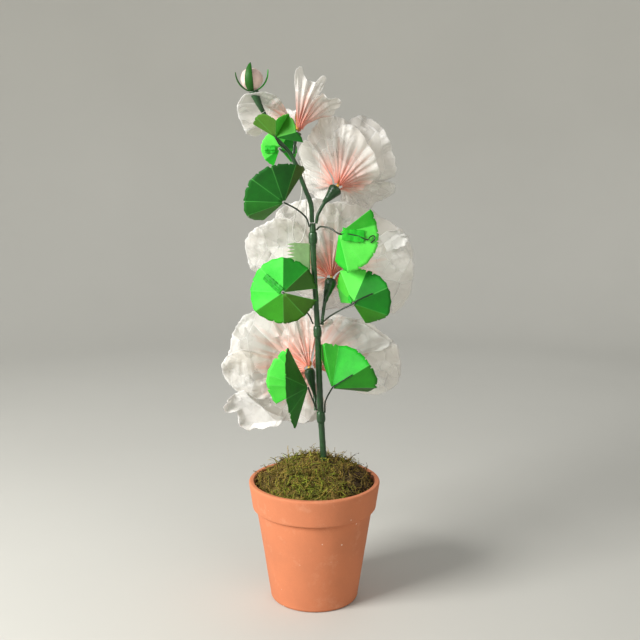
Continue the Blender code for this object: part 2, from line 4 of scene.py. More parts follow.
import bpy
import numpy as np
from bpy.props import (FloatProperty, FloatVectorProperty, IntProperty, PointerProperty)
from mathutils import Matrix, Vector


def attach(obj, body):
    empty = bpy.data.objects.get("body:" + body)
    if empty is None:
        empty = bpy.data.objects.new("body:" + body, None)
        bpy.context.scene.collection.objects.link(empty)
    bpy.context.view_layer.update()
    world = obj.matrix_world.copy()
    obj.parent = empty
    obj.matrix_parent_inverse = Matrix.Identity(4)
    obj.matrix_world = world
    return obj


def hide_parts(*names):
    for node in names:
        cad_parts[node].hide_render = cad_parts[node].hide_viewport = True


bl_info = {
    "name": "Potted Paper Flower",
    "version": (1, 0, 0),
    "blender": (4, 5, 0),
    "location": "View3D > Sidebar > Paper Flower",
    "description": "Builds the looks of a potted paper hollyhock round its packed frame",
    "category": "Object",
}

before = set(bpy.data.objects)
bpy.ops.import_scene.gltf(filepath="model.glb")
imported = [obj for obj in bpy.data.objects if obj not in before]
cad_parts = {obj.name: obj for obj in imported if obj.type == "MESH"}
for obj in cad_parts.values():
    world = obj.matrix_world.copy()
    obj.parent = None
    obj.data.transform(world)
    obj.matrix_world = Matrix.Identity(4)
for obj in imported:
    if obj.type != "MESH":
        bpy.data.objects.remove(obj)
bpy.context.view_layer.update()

# ---- Places, in metres. Everything but the pot's axis is measured from that axis. ----
POT_AXIS = np.array((-0.0023, -0.0108, 0.0))
MOSS_EDGE, MOSS_DOME, MOSS_LUMP, MOSS_REACH = 0.1165, 0.0220, 0.0040, 0.0586
MOSS_FOOT, STRAND_FLOOR, STRAND_JOINTS, STRAND_LEAFLETS = 0.1008, 0.1160, 6, 6
TAPE_PITCH = 0.0065

# The pot's section as (radius, height): foot, outer wall, band, lip, inner wall, drain hole.
POT_SECTION = np.array([
    (0.0080, 0.0), (0.0300, 0.0), (0.0411, 0.0), (0.0430, 0.0006), (0.0440, 0.0024),
    (0.0441, 0.0040), (0.0509, 0.0490), (0.0575, 0.0915), (0.0580, 0.0942),
    (0.0600, 0.0946), (0.0614, 0.0952), (0.0619, 0.0972), (0.0635, 0.1090),
    (0.0649, 0.1185), (0.0650, 0.1205), (0.0643, 0.1217), (0.0630, 0.1220),
    (0.0612, 0.1220), (0.0602, 0.1215), (0.0598, 0.1200), (0.0570, 0.1060),
    (0.0516, 0.0945), (0.0470, 0.0600), (0.0396, 0.0130), (0.0370, 0.0096),
    (0.0300, 0.0090), (0.0080, 0.0090), (0.0078, 0.0080), (0.0078, 0.0010),
])
POT_SIDES = 144

STEM_LINE = [
    (0.0165, 0.0, 0.020, 0.0031), (0.0091, 0.0, 0.1437, 0.0031), (0.0061, 0.0, 0.1931, 0.0031),
    (0.0040, 0.0, 0.2436, 0.0031), (0.0028, 0.0, 0.2785, 0.0027), (-0.0005, 0.0, 0.3371, 0.0027),
    (-0.0014, 0.0, 0.3660, 0.0031), (-0.0016, 0.0, 0.3772, 0.0029),
]
BUD_STALK_LINE = [
    (-0.0022, 0.0, 0.3778, 0.0022), (-0.0032, 0.0, 0.3945, 0.0023),
    (-0.0084, 0.0, 0.4087, 0.0022), (-0.0127, 0.0, 0.4199, 0.0021),
    (-0.0169, 0.0, 0.4312, 0.0021), (-0.0228, 0.0, 0.4425, 0.0019),
    (-0.0289, -0.0020, 0.4498, 0.0018), (-0.0353, -0.0030, 0.4573, 0.0018),
    (-0.0423, -0.0050, 0.4716, 0.0018), (-0.0473, -0.0060, 0.4805, 0.0020),
]
WRAPS = {"tape_wrap_low": 0.1860, "tape_wrap_mid": 0.2720, "tape_wrap_high": 0.3630}

PETAL_RING, PETAL_LIFT, PETAL_LAYER = 0.0050, 0.0030, 0.0012
PETAL_BASE_LEAN, PETAL_FLARE, PETAL_BLEND = math.radians(15), 0.010, 6.0
PETAL_BASE_ANGLE, PETALS_EACH = 26, 5
CALYX_PROFILE = [(0.0, 0.30), (0.22, 0.42), (0.50, 0.68), (0.75, 0.92), (0.90, 1.0), (1.0, 0.8)]
# Each flower: the bowl that its petals share as (turn round the face, opening), its petals
# as (layer counted inwards, reach of the pleats, rim as (turn, length in mm)), and the
# parts of petals that lie folded back, with the length at which they start.
FLOWERS = {
    "top": {
        "foot": (-0.0182, 0.0022, 0.4530), "head": (-0.0164, 0.0040, 0.4622),
        "radius": 0.0046, "face": (0.05, 0.50, 0.86), "blush": 0.034,
        "stalk": [(-0.0199, 0.0006, 0.4425, 0.0016), (-0.0180, 0.0024, 0.4540, 0.0016)],
        "bowl": [(92, 50), (56, 50), (10, 68), (-60, 55), (-115, 42), (158, 82), (205, 112)],
        "petals": [
            (1, 0.060, [(98, 40), (95, 51), (91, 54), (86, 54), (82, 48), (76, 44), (69, 43),
                        (63, 44), (58, 52), (53, 53), (49, 48), (45, 38)]),
            (0, 0.026, [(54, 34), (42, 38), (33, 39), (25, 44), (14, 46), (6, 42), (-6, 34)]),
            (2, 0.026, [(-174, 46), (-158, 54), (-140, 58), (-120, 58), (-104, 52), (-92, 44)]),
            (0, 0.020, [(126, 38), (136, 50), (146, 57), (157, 59), (168, 57), (180, 53),
                        (192, 51), (205, 50), (218, 47), (230, 38)]),
            (1, 0.026, [(-98, 34), (-80, 41), (-60, 43), (-38, 42), (-18, 34)]),
        ],
        "folds": [],
    },
    "right": {
        "foot": (0.0092, 0.0015, 0.3964), "head": (0.0213, 0.0080, 0.4100),
        "radius": 0.0066, "face": (0.26, 0.84, 0.48), "blush": 0.036,
        "stalk": [(0.0018, 0.0, 0.3770, 0.0015), (0.0036, 0.0002, 0.3860, 0.0016),
                  (0.0098, 0.0018, 0.3972, 0.0018)],
        "bowl": [(70, 46), (116, 58), (170, 56), (-49, 54), (29, 62)],
        "petals": [
            (0, 0.030, [(108, 50), (98, 55), (87, 57), (76, 55), (66, 51), (56, 47), (46, 45),
                        (30, 42), (8, 40), (-12, 31), (-38, 20)]),
            (1, 0.070, [(150, 52), (143, 59), (130, 63), (122, 66), (112, 66), (101, 64),
                        (91, 60), (80, 54)]),
            (0, 0.024, [(141, 50), (149, 57), (158, 58), (168, 57), (180, 55), (196, 57),
                        (208, 61), (220, 64), (232, 60), (242, 46)]),
            (1, 0.026, [(-14, 56), (-21, 66), (-28, 69), (-37, 68), (-48, 67), (-60, 69),
                        (-72, 76), (-81, 78), (-90, 66), (-98, 50)]),
            (2, 0.026, [(98, 54), (89, 65), (79, 71), (67, 71), (55, 69), (44, 66), (30, 63),
                        (14, 61), (-4, 61), (-18, 61), (-28, 52)]),
        ],
        "folds": [],
    },
    "middle": {
        "foot": (0.0098, 0.0050, 0.2988), "head": (0.0168, 0.0150, 0.3210),
        "radius": 0.0060, "face": (0.0, 0.93, 0.36), "blush": 0.046,
        "stalk": [(0.0073, 0.0005, 0.2785, 0.0016), (0.0084, 0.0023, 0.2890, 0.0016),
                  (0.0099, 0.0052, 0.2995, 0.0018)],
        "bowl": [(158, 78), (114, 72), (54, 68), (-8, 78), (-98, 58)],
        "petals": [
            (0, 0.022, [(198, 58), (190, 72), (182, 81), (172, 87), (163, 91), (153, 89),
                        (144, 82), (134, 76), (124, 62)]),
            (1, 0.034, [(146, 66), (137, 79), (127, 81), (117, 79), (107, 77), (96, 73),
                        (87, 67), (78, 56)]),
            (2, 0.024, [(102, 58), (92, 68), (80, 72), (66, 73), (52, 75), (40, 77), (29, 82),
                        (22, 84), (14, 76), (7, 62)]),
            (1, 0.022, [(25, 66), (19, 83), (10, 86), (0, 86), (-10, 88), (-20, 91), (-32, 94),
                        (-42, 96), (-51, 92), (-58, 80), (-62, 64)]),
            (2, 0.026, [(-46, 70), (-55, 84), (-66, 90), (-80, 90), (-94, 88), (-108, 84),
                        (-122, 76), (-136, 64), (-146, 50)]),
        ],
        "folds": [(-0.5, 0.060, [(33, 72), (29, 79), (25, 83), (21, 85), (18, 78), (17, 70)])],
    },
    "bottom": {
        "foot": (0.0006, 0.0056, 0.2058), "head": (-0.0053, 0.0190, 0.2300),
        "radius": 0.0054, "face": (0.0, 0.98, 0.12), "blush": 0.056,
        "stalk": [(0.0012, 0.0004, 0.1925, 0.0016), (0.0008, 0.0029, 0.2000, 0.0016),
                  (0.0006, 0.0060, 0.2070, 0.0018)],
        "bowl": [(156, 82), (102, 62), (6, 82), (-126, 68), (-171, 80)],
        "petals": [
            (1, 0.024, [(108, 52), (115, 62), (124, 68), (133, 75), (142, 81), (151, 84),
                        (161, 84), (171, 84), (180, 87), (187, 80), (193, 66)]),
            (2, 0.036, [(142, 50), (134, 61), (124, 66), (113, 66), (102, 64), (91, 61),
                        (81, 57), (72, 46)]),
            (0, 0.022, [(76, 44), (65, 56), (52, 62), (40, 70), (30, 76), (22, 82), (14, 88),
                        (7, 93), (-2, 95), (-10, 95), (-19, 90), (-27, 78), (-34, 62)]),
            (1, 0.026, [(-158, 70), (-152, 84), (-144, 92), (-134, 94), (-122, 93), (-112, 90),
                        (-101, 86), (-90, 82), (-79, 76), (-70, 62)]),
            (0, 0.022, [(168, 66), (175, 82), (183, 91), (191, 92), (198, 90), (206, 86),
                        (214, 80), (222, 70), (231, 54)]),
        ],
        "folds": [
            (-1.4, 0.076, [(-154, 92), (-150, 103), (-146, 106), (-142, 99), (-138, 103),
                           (-133, 110), (-129, 109), (-125, 99), (-119, 89), (-112, 82)]),
            (-0.5, 0.026, [(72, 45), (61, 54), (49, 60), (37, 68), (28, 74), (20, 80), (13, 85),
                           (10, 76)]),
        ],
    },
}

BUD_CENTRE, BUD_RADIUS = np.array((-0.0578, -0.0090, 0.5105)), 0.0103
BUD_CALYX_LINE = [
    (-0.0476, -0.0061, 0.4810, 0.0020), (-0.0505, -0.0070, 0.4865, 0.0026),
    (-0.0530, -0.0078, 0.4920, 0.0034), (-0.0560, -0.0086, 0.5000, 0.0044),
]

# Sepals: turn round the bud, the angle from its foot at which they end, how far the tip
# stands out, half width and how dark they are. All start at the same angle.
SEPAL_START = 12
SEPALS = [(-100, 162, 0.0040, 0.0036, 0.80), (168, 112, 0.0056, 0.0020, 0.82),
          (14, 120, 0.0066, 0.0022, 0.30)]

# Leaves: hub, radius, creases as (angle in XZ, lean towards the front), how dark and how
# olive each sector between creases is painted (the darkness is painted shade, standing in for
# how each facet meets the light; the olive is partly the paper's warmer hue and partly painted
# shade), their wire, the run of its end over the leaf as (sector, share across it, distance,
# lift) and the glued strips over it as (sector, share, start, end, half width).
LEAVES = {
    "top_front": {
        "hub": (-0.0360, -0.0120, 0.4575), "radius": 0.026,
        "creases": [(150, -20), (134, 0), (85, 55), (60, 20), (14, 40), (-10, 10)],
        "tones": [(0.66, 0.9), (0.62, 0.9), (0.10, 0.3), (0.50, 0.45), (0.62, 0.0)],
        "wire": [(-0.0300, -0.0050, 0.4490), (-0.0330, -0.0095, 0.4520)],
        "run": [], "strips": [],
    },
    "top_back": {
        "hub": (-0.0330, 0.0110, 0.4470), "radius": 0.018,
        "creases": [(250, -20), (215, -10), (160, 0), (110, -10), (60, -25), (0, -25),
                    (-50, -15)],
        "tones": [(0.22, 0.0), (0.05, 0.0), (0.0, 0.0), (0.1, 0.0), (0.6, 0.0), (0.36, 0.1)],
        "wire": [(-0.0262, 0.0025, 0.4455), (-0.0290, 0.0060, 0.4440)],
        "run": [], "strips": [(1, 0.6, 0.004, 0.014, 0.0036)],
    },
    "high_left": {
        "hub": (-0.0283, -0.0200, 0.3980), "radius": 0.038,
        "creases": [(57, -20), (72, 10), (108, 20), (143, 15), (178, 0), (200, -8),
                    (222, -45)],
        "tones": [(0.82, 0.75), (0.80, 0.0), (0.77, 0.0), (0.75, 0.0), (0.72, 0.1),
                  (0.64, 0.45)],
        "wire": [(-0.0048, -0.0020, 0.3740), (-0.0080, -0.0060, 0.3830),
                 (-0.0170, -0.0130, 0.3915)],
        "run": [], "strips": [],
    },
    "high_right": {
        "hub": (0.0230, -0.0200, 0.3690), "radius": 0.038,
        "creases": [(37, -10), (12, -15), (-18, 0), (-50, 0), (-76, 0), (-96, -40)],
        "tones": [(0.24, 0.15), (0.05, 0.0), (0.0, 0.0), (0.02, 0.0), (0.24, 0.0)],
        "wire": [(0.0022, -0.0022, 0.3712), (0.0060, -0.0080, 0.3745),
                 (0.0150, -0.0160, 0.3735)],
        "run": [(1, 0.60, 0.008, 0.0014), (1, 0.70, 0.018, 0.0014), (1, 0.84, 0.027, 0.0016),
                (1, 0.62, 0.030, 0.0016), (1, 0.56, 0.033, 0.0014), (1, 0.74, 0.034, 0.0012),
                (1, 0.95, 0.031, 0.0010)],
        "strips": [(1, 0.68, 0.003, 0.024, 0.0062)],
    },
    "middle_left": {
        "hub": (-0.0297, -0.0200, 0.3133), "radius": 0.034,
        "creases": [(345, -12), (310, -20), (270, -20), (216, -14), (180, -20), (135, -20),
                    (90, -14), (42, -20), (4, -20)],
        "tones": [(0.72, 0.8), (0.60, 0.75), (0.36, 0.45), (0.20, 0.0), (0.21, 0.0),
                  (0.22, 0.0), (0.56, 0.0), (0.86, 0.55)],
        "wire": [(-0.0014, -0.0010, 0.2800), (-0.0060, -0.0050, 0.2900),
                 (-0.0165, -0.0080, 0.3010), (-0.0262, -0.0105, 0.3090)],
        "run": [], "strips": [(4, 0.87, 0.002, 0.024, 0.0034)],
    },
    "middle_right": {
        "hub": (0.0366, -0.0200, 0.3028), "radius": 0.037,
        "creases": [(205, -72), (140, -58), (112, -33), (65, -26), (25, 0), (-20, -8),
                    (-60, -42)],
        "tones": [(0.22, 0.2), (0.18, 0.3), (0.0, 0.0), (0.60, 0.0), (0.62, 0.0), (0.44, 0.5)],
        "wire": [(0.0062, -0.0022, 0.2800), (0.0150, -0.0110, 0.2890),
                 (0.0270, -0.0180, 0.2975)],
        "run": [(3, 0.90, 0.006, 0.0012), (3, 0.94, 0.014, 0.0011), (3, 0.96, 0.021, 0.0008)],
        "strips": [(1, 0.5, 0.001, 0.009, 0.0026)],
    },
    "low_left": {
        "hub": (-0.0062, -0.0120, 0.2192), "radius": 0.043,
        "creases": [(214, -25), (181, -15), (165, -10), (135, -8), (116, 0), (139, 50),
                    (185, 62), (225, 55), (252, 25)],
        "tones": [(0.12, 0.0), (0.10, 0.0), (0.14, 0.0), (0.22, 0.0), (0.72, 0.3),
                  (0.70, 0.15), (0.68, 0.1), (0.66, 0.2)],
        "wire": [(0.0024, -0.0040, 0.1940), (-0.0010, -0.0080, 0.2040)],
        "run": [], "strips": [],
    },
    "low_right": {
        "hub": (0.0172, -0.0120, 0.2182), "radius": 0.044,
        "creases": [(112, -36), (101, -8), (80, -25), (33, 0), (0, -4), (-14, -30)],
        "tones": [(0.34, 0.1), (0.08, 0.0), (0.36, 0.0), (0.56, 0.2), (0.70, 0.5)],
        "wire": [(0.0104, -0.0022, 0.1915), (0.0108, -0.0080, 0.2040)],
        "run": [(2, 0.93, 0.006, 0.0010), (2, 0.97, 0.016, 0.0008), (2, 0.98, 0.024, 0.0005)],
        "strips": [],
    },
}

TAG_CENTRE, TAG_SIZE = np.array((-0.0150, 0.0085, 0.3420)), (0.022, 0.030)
THREAD_LINE = [
    (-0.0150, 0.0036, 0.4385), (-0.0134, 0.0040, 0.4320), (-0.0116, 0.0044, 0.4180),
    (-0.0126, 0.0050, 0.4020), (-0.0168, 0.0060, 0.3900), (-0.0200, 0.0070, 0.3760),
    (-0.0208, 0.0078, 0.3650), (-0.0182, 0.0084, 0.3590), (-0.0150, 0.0085, 0.3578),
    (-0.0118, 0.0085, 0.3605), (-0.0088, 0.0084, 0.3700), (-0.0076, 0.0082, 0.3840),
    (-0.0082, 0.0078, 0.4020), (-0.0094, 0.0068, 0.4180), (-0.0116, 0.0060, 0.4320),
    (-0.0138, 0.0052, 0.4390),
]
THREAD_POINTS = 60


# ---------------------------------------------------------------------------
# What a user may change
# ---------------------------------------------------------------------------
def colour_setting(name, description, value):
    """A colour on the sidebar."""
    return FloatVectorProperty(name=name, description=description, default=value,
                               subtype="COLOR", size=3, min=0.0, max=1.0)


def length_setting(name, description, value):
    """A length on the sidebar, in metres."""
    return FloatProperty(name=name, description=description, default=value, min=0.0,
                         unit="LENGTH", subtype="DISTANCE", precision=5)


class PAPERFLOWER_PG_pot(bpy.types.PropertyGroup):
    """The clay pot and what fills it."""
    clay: colour_setting("Clay", "Colour of the fired clay", (0.60, 0.200, 0.090))
    bloom: colour_setting("Bloom", "Pale lime bloom on the clay", (0.76, 0.38, 0.23))
    foam: colour_setting("Filler", "Colour of the block that holds the stem",
                         (0.10, 0.13, 0.05))


class PAPERFLOWER_PG_moss(bpy.types.PropertyGroup):
    """The dried moss."""
    strands: IntProperty(name="Strands", description="How many strands lie on the mound",
                         default=2600, min=0, max=2700)
    strand_length: length_setting("Strand length", "Mean length of a strand", 0.0120)
    green: colour_setting("Green", "Fresh moss", (0.36, 0.42, 0.03))
    olive: colour_setting("Olive", "Drier moss", (0.48, 0.33, 0.06))
    brown: colour_setting("Brown", "Oldest moss", (0.085, 0.042, 0.016))


class PAPERFLOWER_PG_stem(bpy.types.PropertyGroup):
    """The taped stem, stalks, wires and calyxes."""
    tape: colour_setting("Tape", "Colour of the waxed tape", (0.004, 0.046, 0.006))
    overlap: colour_setting("Tape edge", "Colour where the tape laps itself",
                            (0.002, 0.022, 0.003))
    pitch: length_setting("Tape pitch", "Distance between turns of the tape", TAPE_PITCH)


class PAPERFLOWER_PG_petals(bpy.types.PropertyGroup):
    """The tissue petals."""
    tissue: colour_setting("Tissue", "Colour of the waxed tissue", (0.95, 0.945, 0.93))
    salmon: colour_setting("Salmon", "Where the blush fades", (0.95, 0.64, 0.56))
    coral: colour_setting("Coral", "Blush at the petals' base", (0.93, 0.28, 0.17))
    thickness: length_setting("Thickness", "Thickness of the tissue", 0.0003)
    pleat: length_setting("Pleat depth", "Depth of the gathers at the base", 0.0005)
    crumple: length_setting("Crumple depth", "Depth of the widest creases", 0.0037)
    curl: length_setting("Rim curl", "How far the rim bends away", 0.0045)


class PAPERFLOWER_PG_bud(bpy.types.PropertyGroup):
    """The closed bud."""
    pink: colour_setting("Pink", "Colour of the rolled tissue", (0.88, 0.70, 0.63))


class PAPERFLOWER_PG_leaves(bpy.types.PropertyGroup):
    """The folded leaves."""
    # Painted light and shade: the four greens below run from a painted lit tone through the paper's
    # own colour to two painted shaded tones, picked by each sector's painted shade; the deepest
    # also tints the fine grain.
    bright: colour_setting("Lit leaf", "Leaf paper at its palest", (0.11, 0.76, 0.075))
    fresh: colour_setting("Leaf", "Colour of the leaf paper", (0.014, 0.50, 0.016))
    full: colour_setting("Full leaf", "Leaf paper well dyed", (0.003, 0.22, 0.006))
    deep_shade_and_grain: colour_setting("Deep leaf", "Leaf paper at its deepest", (0.0015, 0.075, 0.002))
    olive: colour_setting("Olive", "Warm dye in some sectors", (0.14, 0.23, 0.004))
    fold: colour_setting("Fold line", "Colour of the worn folds", (0.13, 0.62, 0.11))
    thickness: length_setting("Thickness", "Thickness of the leaf paper", 0.0004)


class PAPERFLOWER_PG_tag(bpy.types.PropertyGroup):
    """The tag and its thread."""
    paper: colour_setting("Tag", "Colour of the tag's paper", (0.40, 0.62, 0.30))
    thread: colour_setting("Thread", "Colour of the thread", (0.82, 0.81, 0.75))


class PAPERFLOWER_PG_stage(bpy.types.PropertyGroup):
    """Floor, backdrop and lights."""
    floor: colour_setting("Floor", "Colour of the floor and backdrop", (0.55, 0.545, 0.505))
    key: FloatProperty(name="Key light", description="Power of the window light at the left",
                       default=38.0, min=0.0, subtype="POWER")
    fill: FloatProperty(name="Fill light", description="Power of the soft front light",
                        default=4.0, min=0.0, subtype="POWER")
    sky: FloatProperty(name="Room light", description="Strength of the light all round",
                       default=0.42, min=0.0)


# ---------------------------------------------------------------------------
# Shapes as arrays
# ---------------------------------------------------------------------------
def hashed(cells, seed):
    """A repeatable number from 0 to 1 for each whole-number cell: its coordinates times
    large odd numbers, added and stirred."""
    mask = 0xFFFFFFFF
    total = np.full(cells.shape[:-1], (seed * 1274126177 + 974711) & mask, dtype=np.int64)
    for axis, factor in zip(range(cells.shape[-1]), (374761393, 668265263, 1911520717)):
        total = (total + cells[..., axis] * factor) & mask
    total = ((total ^ (total >> 13)) * 1103515245) & mask
    total = ((total ^ (total >> 15)) * 668265263) & mask
    return (total ^ (total >> 16)) / mask


def soft_noise(points, size, seed):
    """Smooth random heights from -1 to 1: hashed values at the corners of a lattice of
    that cell size, blended by a smooth step along each axis."""
    scaled = np.asarray(points, dtype=float) / size
    cell = np.floor(scaled).astype(np.int64)
    part = scaled - cell
    part = part * part * (3 - 2 * part)
    total = 0.0
    for corner in itertools.product((0, 1), repeat=scaled.shape[-1]):
        corner = np.array(corner)
        weight = np.prod(np.where(corner == 1, part, 1 - part), axis=-1)
        total = total + weight * hashed(cell + corner, seed)
    return 2 * total - 1


def crumpled(x, y, size, seed, folds=5):
    """Heights of about -1 to 1 of crumpled paper: the sum of triangle waves along random
    directions, each bent and faded by smooth noise, so that creases are straight and end."""
    draw = np.random.default_rng(seed)
    spots = np.stack([x, y], axis=-1)
    total = 0.0
    for fold in range(folds):
        angle, length, start = draw.uniform((0, 0.7, 0), (math.pi, 1.6, 1))
        bend = 0.30 * soft_noise(spots, size * 2.4, seed * 31 + fold)
        phase = (x * math.cos(angle) + y * math.sin(angle)) / (size * length) + start + bend
        fade = 0.5 + 0.5 * soft_noise(spots, size * 1.9, seed * 31 + fold + 11)
        total = total + (1 - 4 * np.abs(phase % 1.0 - 0.5)) * fade
    return total / math.sqrt(folds)


def eased(low, high, values):
    """0 below low, 1 above high, and a smooth step between."""
    share = np.clip((values - low) / (high - low), 0.0, 1.0)
    return share * share * (3 - 2 * share)


def unit(vectors):
    """Vectors of length one, along the last axis."""
    return vectors / np.maximum(np.linalg.norm(vectors, axis=-1, keepdims=True), 1e-12)


def petal_rim(spokes, count):
    """Turn in radians and length in metres at even steps along a Catmull-Rom curve through
    a petal's spokes, where one millimetre counts as much as one degree."""
    fine = smooth_line(spokes, 240)
    along = np.concatenate([[0], np.cumsum(np.hypot(*np.diff(fine, axis=0).T))])
    place = np.linspace(0, along[-1], count)
    return (np.radians(np.interp(place, along, fine[:, 0])),
            np.interp(place, along, fine[:, 1]) / 1000)


def smooth_line(points, count):
    """A Catmull-Rom curve through the points, read at evenly spaced parameters."""
    line = np.array(points, dtype=float)
    ends = np.vstack([2 * line[0] - line[1], line, 2 * line[-1] - line[-2]])
    place = np.linspace(0, len(line) - 1, count)
    span = np.minimum(place.astype(int), len(line) - 2)
    t = (place - span)[:, None]
    a, b, c, d = ends[span], ends[span + 1], ends[span + 2], ends[span + 3]
    return 0.5 * (2 * b + (c - a) * t + (2 * a - 5 * b + 4 * c - d) * t ** 2
                  + (3 * b - a - 3 * c + d) * t ** 3)


def quads_of(rows, columns, wrap):
    """Corner numbers of the faces between neighbouring points of a grid. With wrap, the
    last column joins the first."""
    number = np.arange(rows * columns).reshape(rows, columns)
    after = np.roll(number, -1, axis=1) if wrap else number[:, 1:]
    number = number if wrap else number[:, :-1]
    return np.stack([number[:-1], after[:-1], after[1:], number[1:]], axis=-1).reshape(-1, 4)


def capped_faces(rows, count):
    """Faces of rings of points from end to end, each end closed by a fan to its own middle
    point. The two middle points come after the rings."""
    first, last = np.arange(count), np.arange(count) + (rows - 1) * count
    start = np.stack([np.full(count, rows * count), np.roll(first, -1), first], -1)
    end = np.stack([np.full(count, rows * count + 1), last, np.roll(last, -1)], -1)
    return [quads_of(rows, count, True), start, end]


def new_piece(name, points, faces, finish, uv=None, marks=None):
    """Put points and faces into a mesh object that rides on the one body. faces is a list
    of arrays, each with a row of corner numbers a face. uv has a pair a point, and marks is
    {attribute name: a value a point}."""
    points = np.asarray(points, dtype=np.float32).reshape(-1, 3)
    faces = [np.asarray(group, dtype=np.int32) for group in faces]
    mesh = bpy.data.meshes.new(name)
    corners = np.concatenate([group.ravel() for group in faces])
    sizes = np.concatenate([np.full(len(group), group.shape[1]) for group in faces])
    mesh.vertices.add(len(points))
    mesh.vertices.foreach_set("co", points.ravel())
    mesh.loops.add(len(corners))
    mesh.loops.foreach_set("vertex_index", corners)
    mesh.polygons.add(len(sizes))
    mesh.polygons.foreach_set("loop_start", np.concatenate([[0], np.cumsum(sizes)[:-1]]))
    mesh.polygons.foreach_set("use_smooth", np.full(len(sizes), True))
    mesh.update(calc_edges=True)
    if uv is not None:
        layer = mesh.uv_layers.new(name="Lay")
        spread = np.asarray(uv, dtype=np.float32).reshape(-1, 2)[corners]
        layer.data.foreach_set("uv", spread.ravel())
    for label, values in (marks or {}).items():
        values = np.asarray(values, dtype=np.float32)
        if values.ndim > 1 and values.shape[-1] == 3:
            values = np.concatenate([values, np.ones(values.shape[:-1] + (1,), np.float32)], -1)
            store = mesh.attributes.new(label, "FLOAT_COLOR", "POINT")
            store.data.foreach_set("color", values.ravel())
        else:
            store = mesh.attributes.new(label, "FLOAT", "POINT")
            store.data.foreach_set("value", values.ravel())
    if mesh.validate():
        raise RuntimeError(f"{name} has a face that is not a proper one")
    item = bpy.data.objects.new(name, mesh)
    bpy.context.scene.collection.objects.link(item)
    mesh.materials.append(finish)
    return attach(item, "root")


def sheet_parts(grid, thickness):
    """Points and faces of a sheet: the grid moved half its thickness along its normals to
    each side, the two sides joined by a band along the edge."""
    rows, columns = grid.shape[:2]
    normal = unit(np.cross(np.gradient(grid, axis=1), np.gradient(grid, axis=0)))
    points = np.concatenate([(grid + normal * thickness / 2).reshape(-1, 3),
                             (grid - normal * thickness / 2).reshape(-1, 3)])
    half = rows * columns
    front = quads_of(rows, columns, False)
    number = np.arange(half).reshape(rows, columns)
    rim = np.concatenate([number[0, :-1], number[:-1, -1], number[-1, :0:-1], number[:0:-1, 0]])
    after = np.roll(rim, -1)
    band = np.stack([rim, rim + half, after + half, after], axis=-1)
    return points, [front, front[:, ::-1] + half, band]


def new_sheet(name, grid, thickness, finish, uv=None, marks=None):
    """A sheet of paper as a closed solid; uv and marks have a row for each grid point."""
    points, faces = sheet_parts(grid, thickness)
    both = {label: np.concatenate([np.asarray(v).reshape(grid.shape[0] * grid.shape[1], -1)] * 2)
            for label, v in (marks or {}).items()}
    both = {label: v[:, 0] if v.shape[1] == 1 else v for label, v in both.items()}
    lay = None if uv is None else np.concatenate([np.asarray(uv).reshape(-1, 2)] * 2)
    return new_piece(name, points + POT_AXIS, faces, finish, lay, both)


def carried_frames(line):
    """Tangent and two side vectors at each point of a line, carried along without twist."""
    tangents = unit(np.gradient(line, axis=0))
    side = np.cross(tangents[0], (0.0, 1.0, 0.0))
    sides = []
    for tangent in tangents:
        side = unit(side - tangent * np.dot(side, tangent))
        sides.append(side)
    sides = np.array(sides)
    return tangents, sides, np.cross(tangents, sides)


def tube_parts(stations, sides, swell=None):
    """Points, faces and UVs of a round bar with closed ends: a circle of each station's
    radius, carried along the line; the UV is the share round and the metres along. swell is
    a function of (share round, metres along) that gives the height added to the radius."""
    stations = np.asarray(stations, dtype=float)
    line, radii = stations[:, :3], stations[:, 3]
    _, across, up = carried_frames(line)
    along = np.concatenate([[0], np.cumsum(np.linalg.norm(np.diff(line, axis=0), axis=1))])
    share = np.arange(sides) / sides
    round_, length = np.meshgrid(share, along)
    radius = radii[:, None] + (swell(round_, length) if swell else 0.0)
    turn = 2 * math.pi * round_
    rings = line[:, None] + radius[:, :, None] * (
        np.cos(turn)[:, :, None] * across[:, None] + np.sin(turn)[:, :, None] * up[:, None])
    points = np.concatenate([rings.reshape(-1, 3), line[:1], line[-1:]])
    uv = np.concatenate([np.stack([round_, length], -1).reshape(-1, 2),
                         [(0.5, 0.0), (0.5, along[-1])]])
    return points, capped_faces(len(line), sides), uv


def face_frame(face):
    """The unit vectors right, up and out of a flower that faces a direction."""
    out = unit(np.array(face, dtype=float))
    right = unit(np.array((1.0, 0.0, 0.0)) - out * out[0])
    return right, np.cross(right, out), out


# ---------------------------------------------------------------------------
# Finishes
# ---------------------------------------------------------------------------
def node(tree, kind, inputs=None, **settings):
    """Add a node, set its properties, and link or set its inputs by name or number."""
    made = tree.nodes.new("ShaderNode" + kind)
    for label, value in settings.items():
        setattr(made, label, value)
    for label, value in (inputs or {}).items():
        if isinstance(value, bpy.types.NodeSocket):
            tree.links.new(value, made.inputs[label])
        else:
            made.inputs[label].default_value = value
    return made


def start_finish(name, **plain):
    """A new material and its Principled shader, with its uniform inputs set by name."""
    material = bpy.data.materials.new(name)
    material.use_nodes = True
    shader = material.node_tree.nodes["Principled BSDF"]
    for label, value in plain.items():
        shader.inputs[label.replace("_", " ")].default_value = value
    return material, material.node_tree, shader


def rgba(colour, scale=1.0):
    """A colour with its alpha, made lighter or darker by a factor."""
    return (*[min(1.0, part * scale) for part in colour], 1.0)


def place_of(tree):
    """Where a point lies on the object."""
    return node(tree, "TexCoord").outputs["Object"]


def noise(tree, where, scale, detail=3.0, roughness=0.5):
    """Smooth noise from 0 to 1 at a place, in features a metre."""
    return node(tree, "TexNoise", {"Vector": where, "Scale": scale, "Detail": detail,
                                   "Roughness": roughness}).outputs["Fac"]


def mixed(tree, share, first, second, blend="MIX"):
    """first blended into second by share."""
    made = node(tree, "Mix", data_type="RGBA", blend_type=blend)
    for label, value in ((0, share), (6, first), (7, second)):
        if isinstance(value, bpy.types.NodeSocket):
            tree.links.new(value, made.inputs[label])
        else:
            made.inputs[label].default_value = value
    return made.outputs[2]


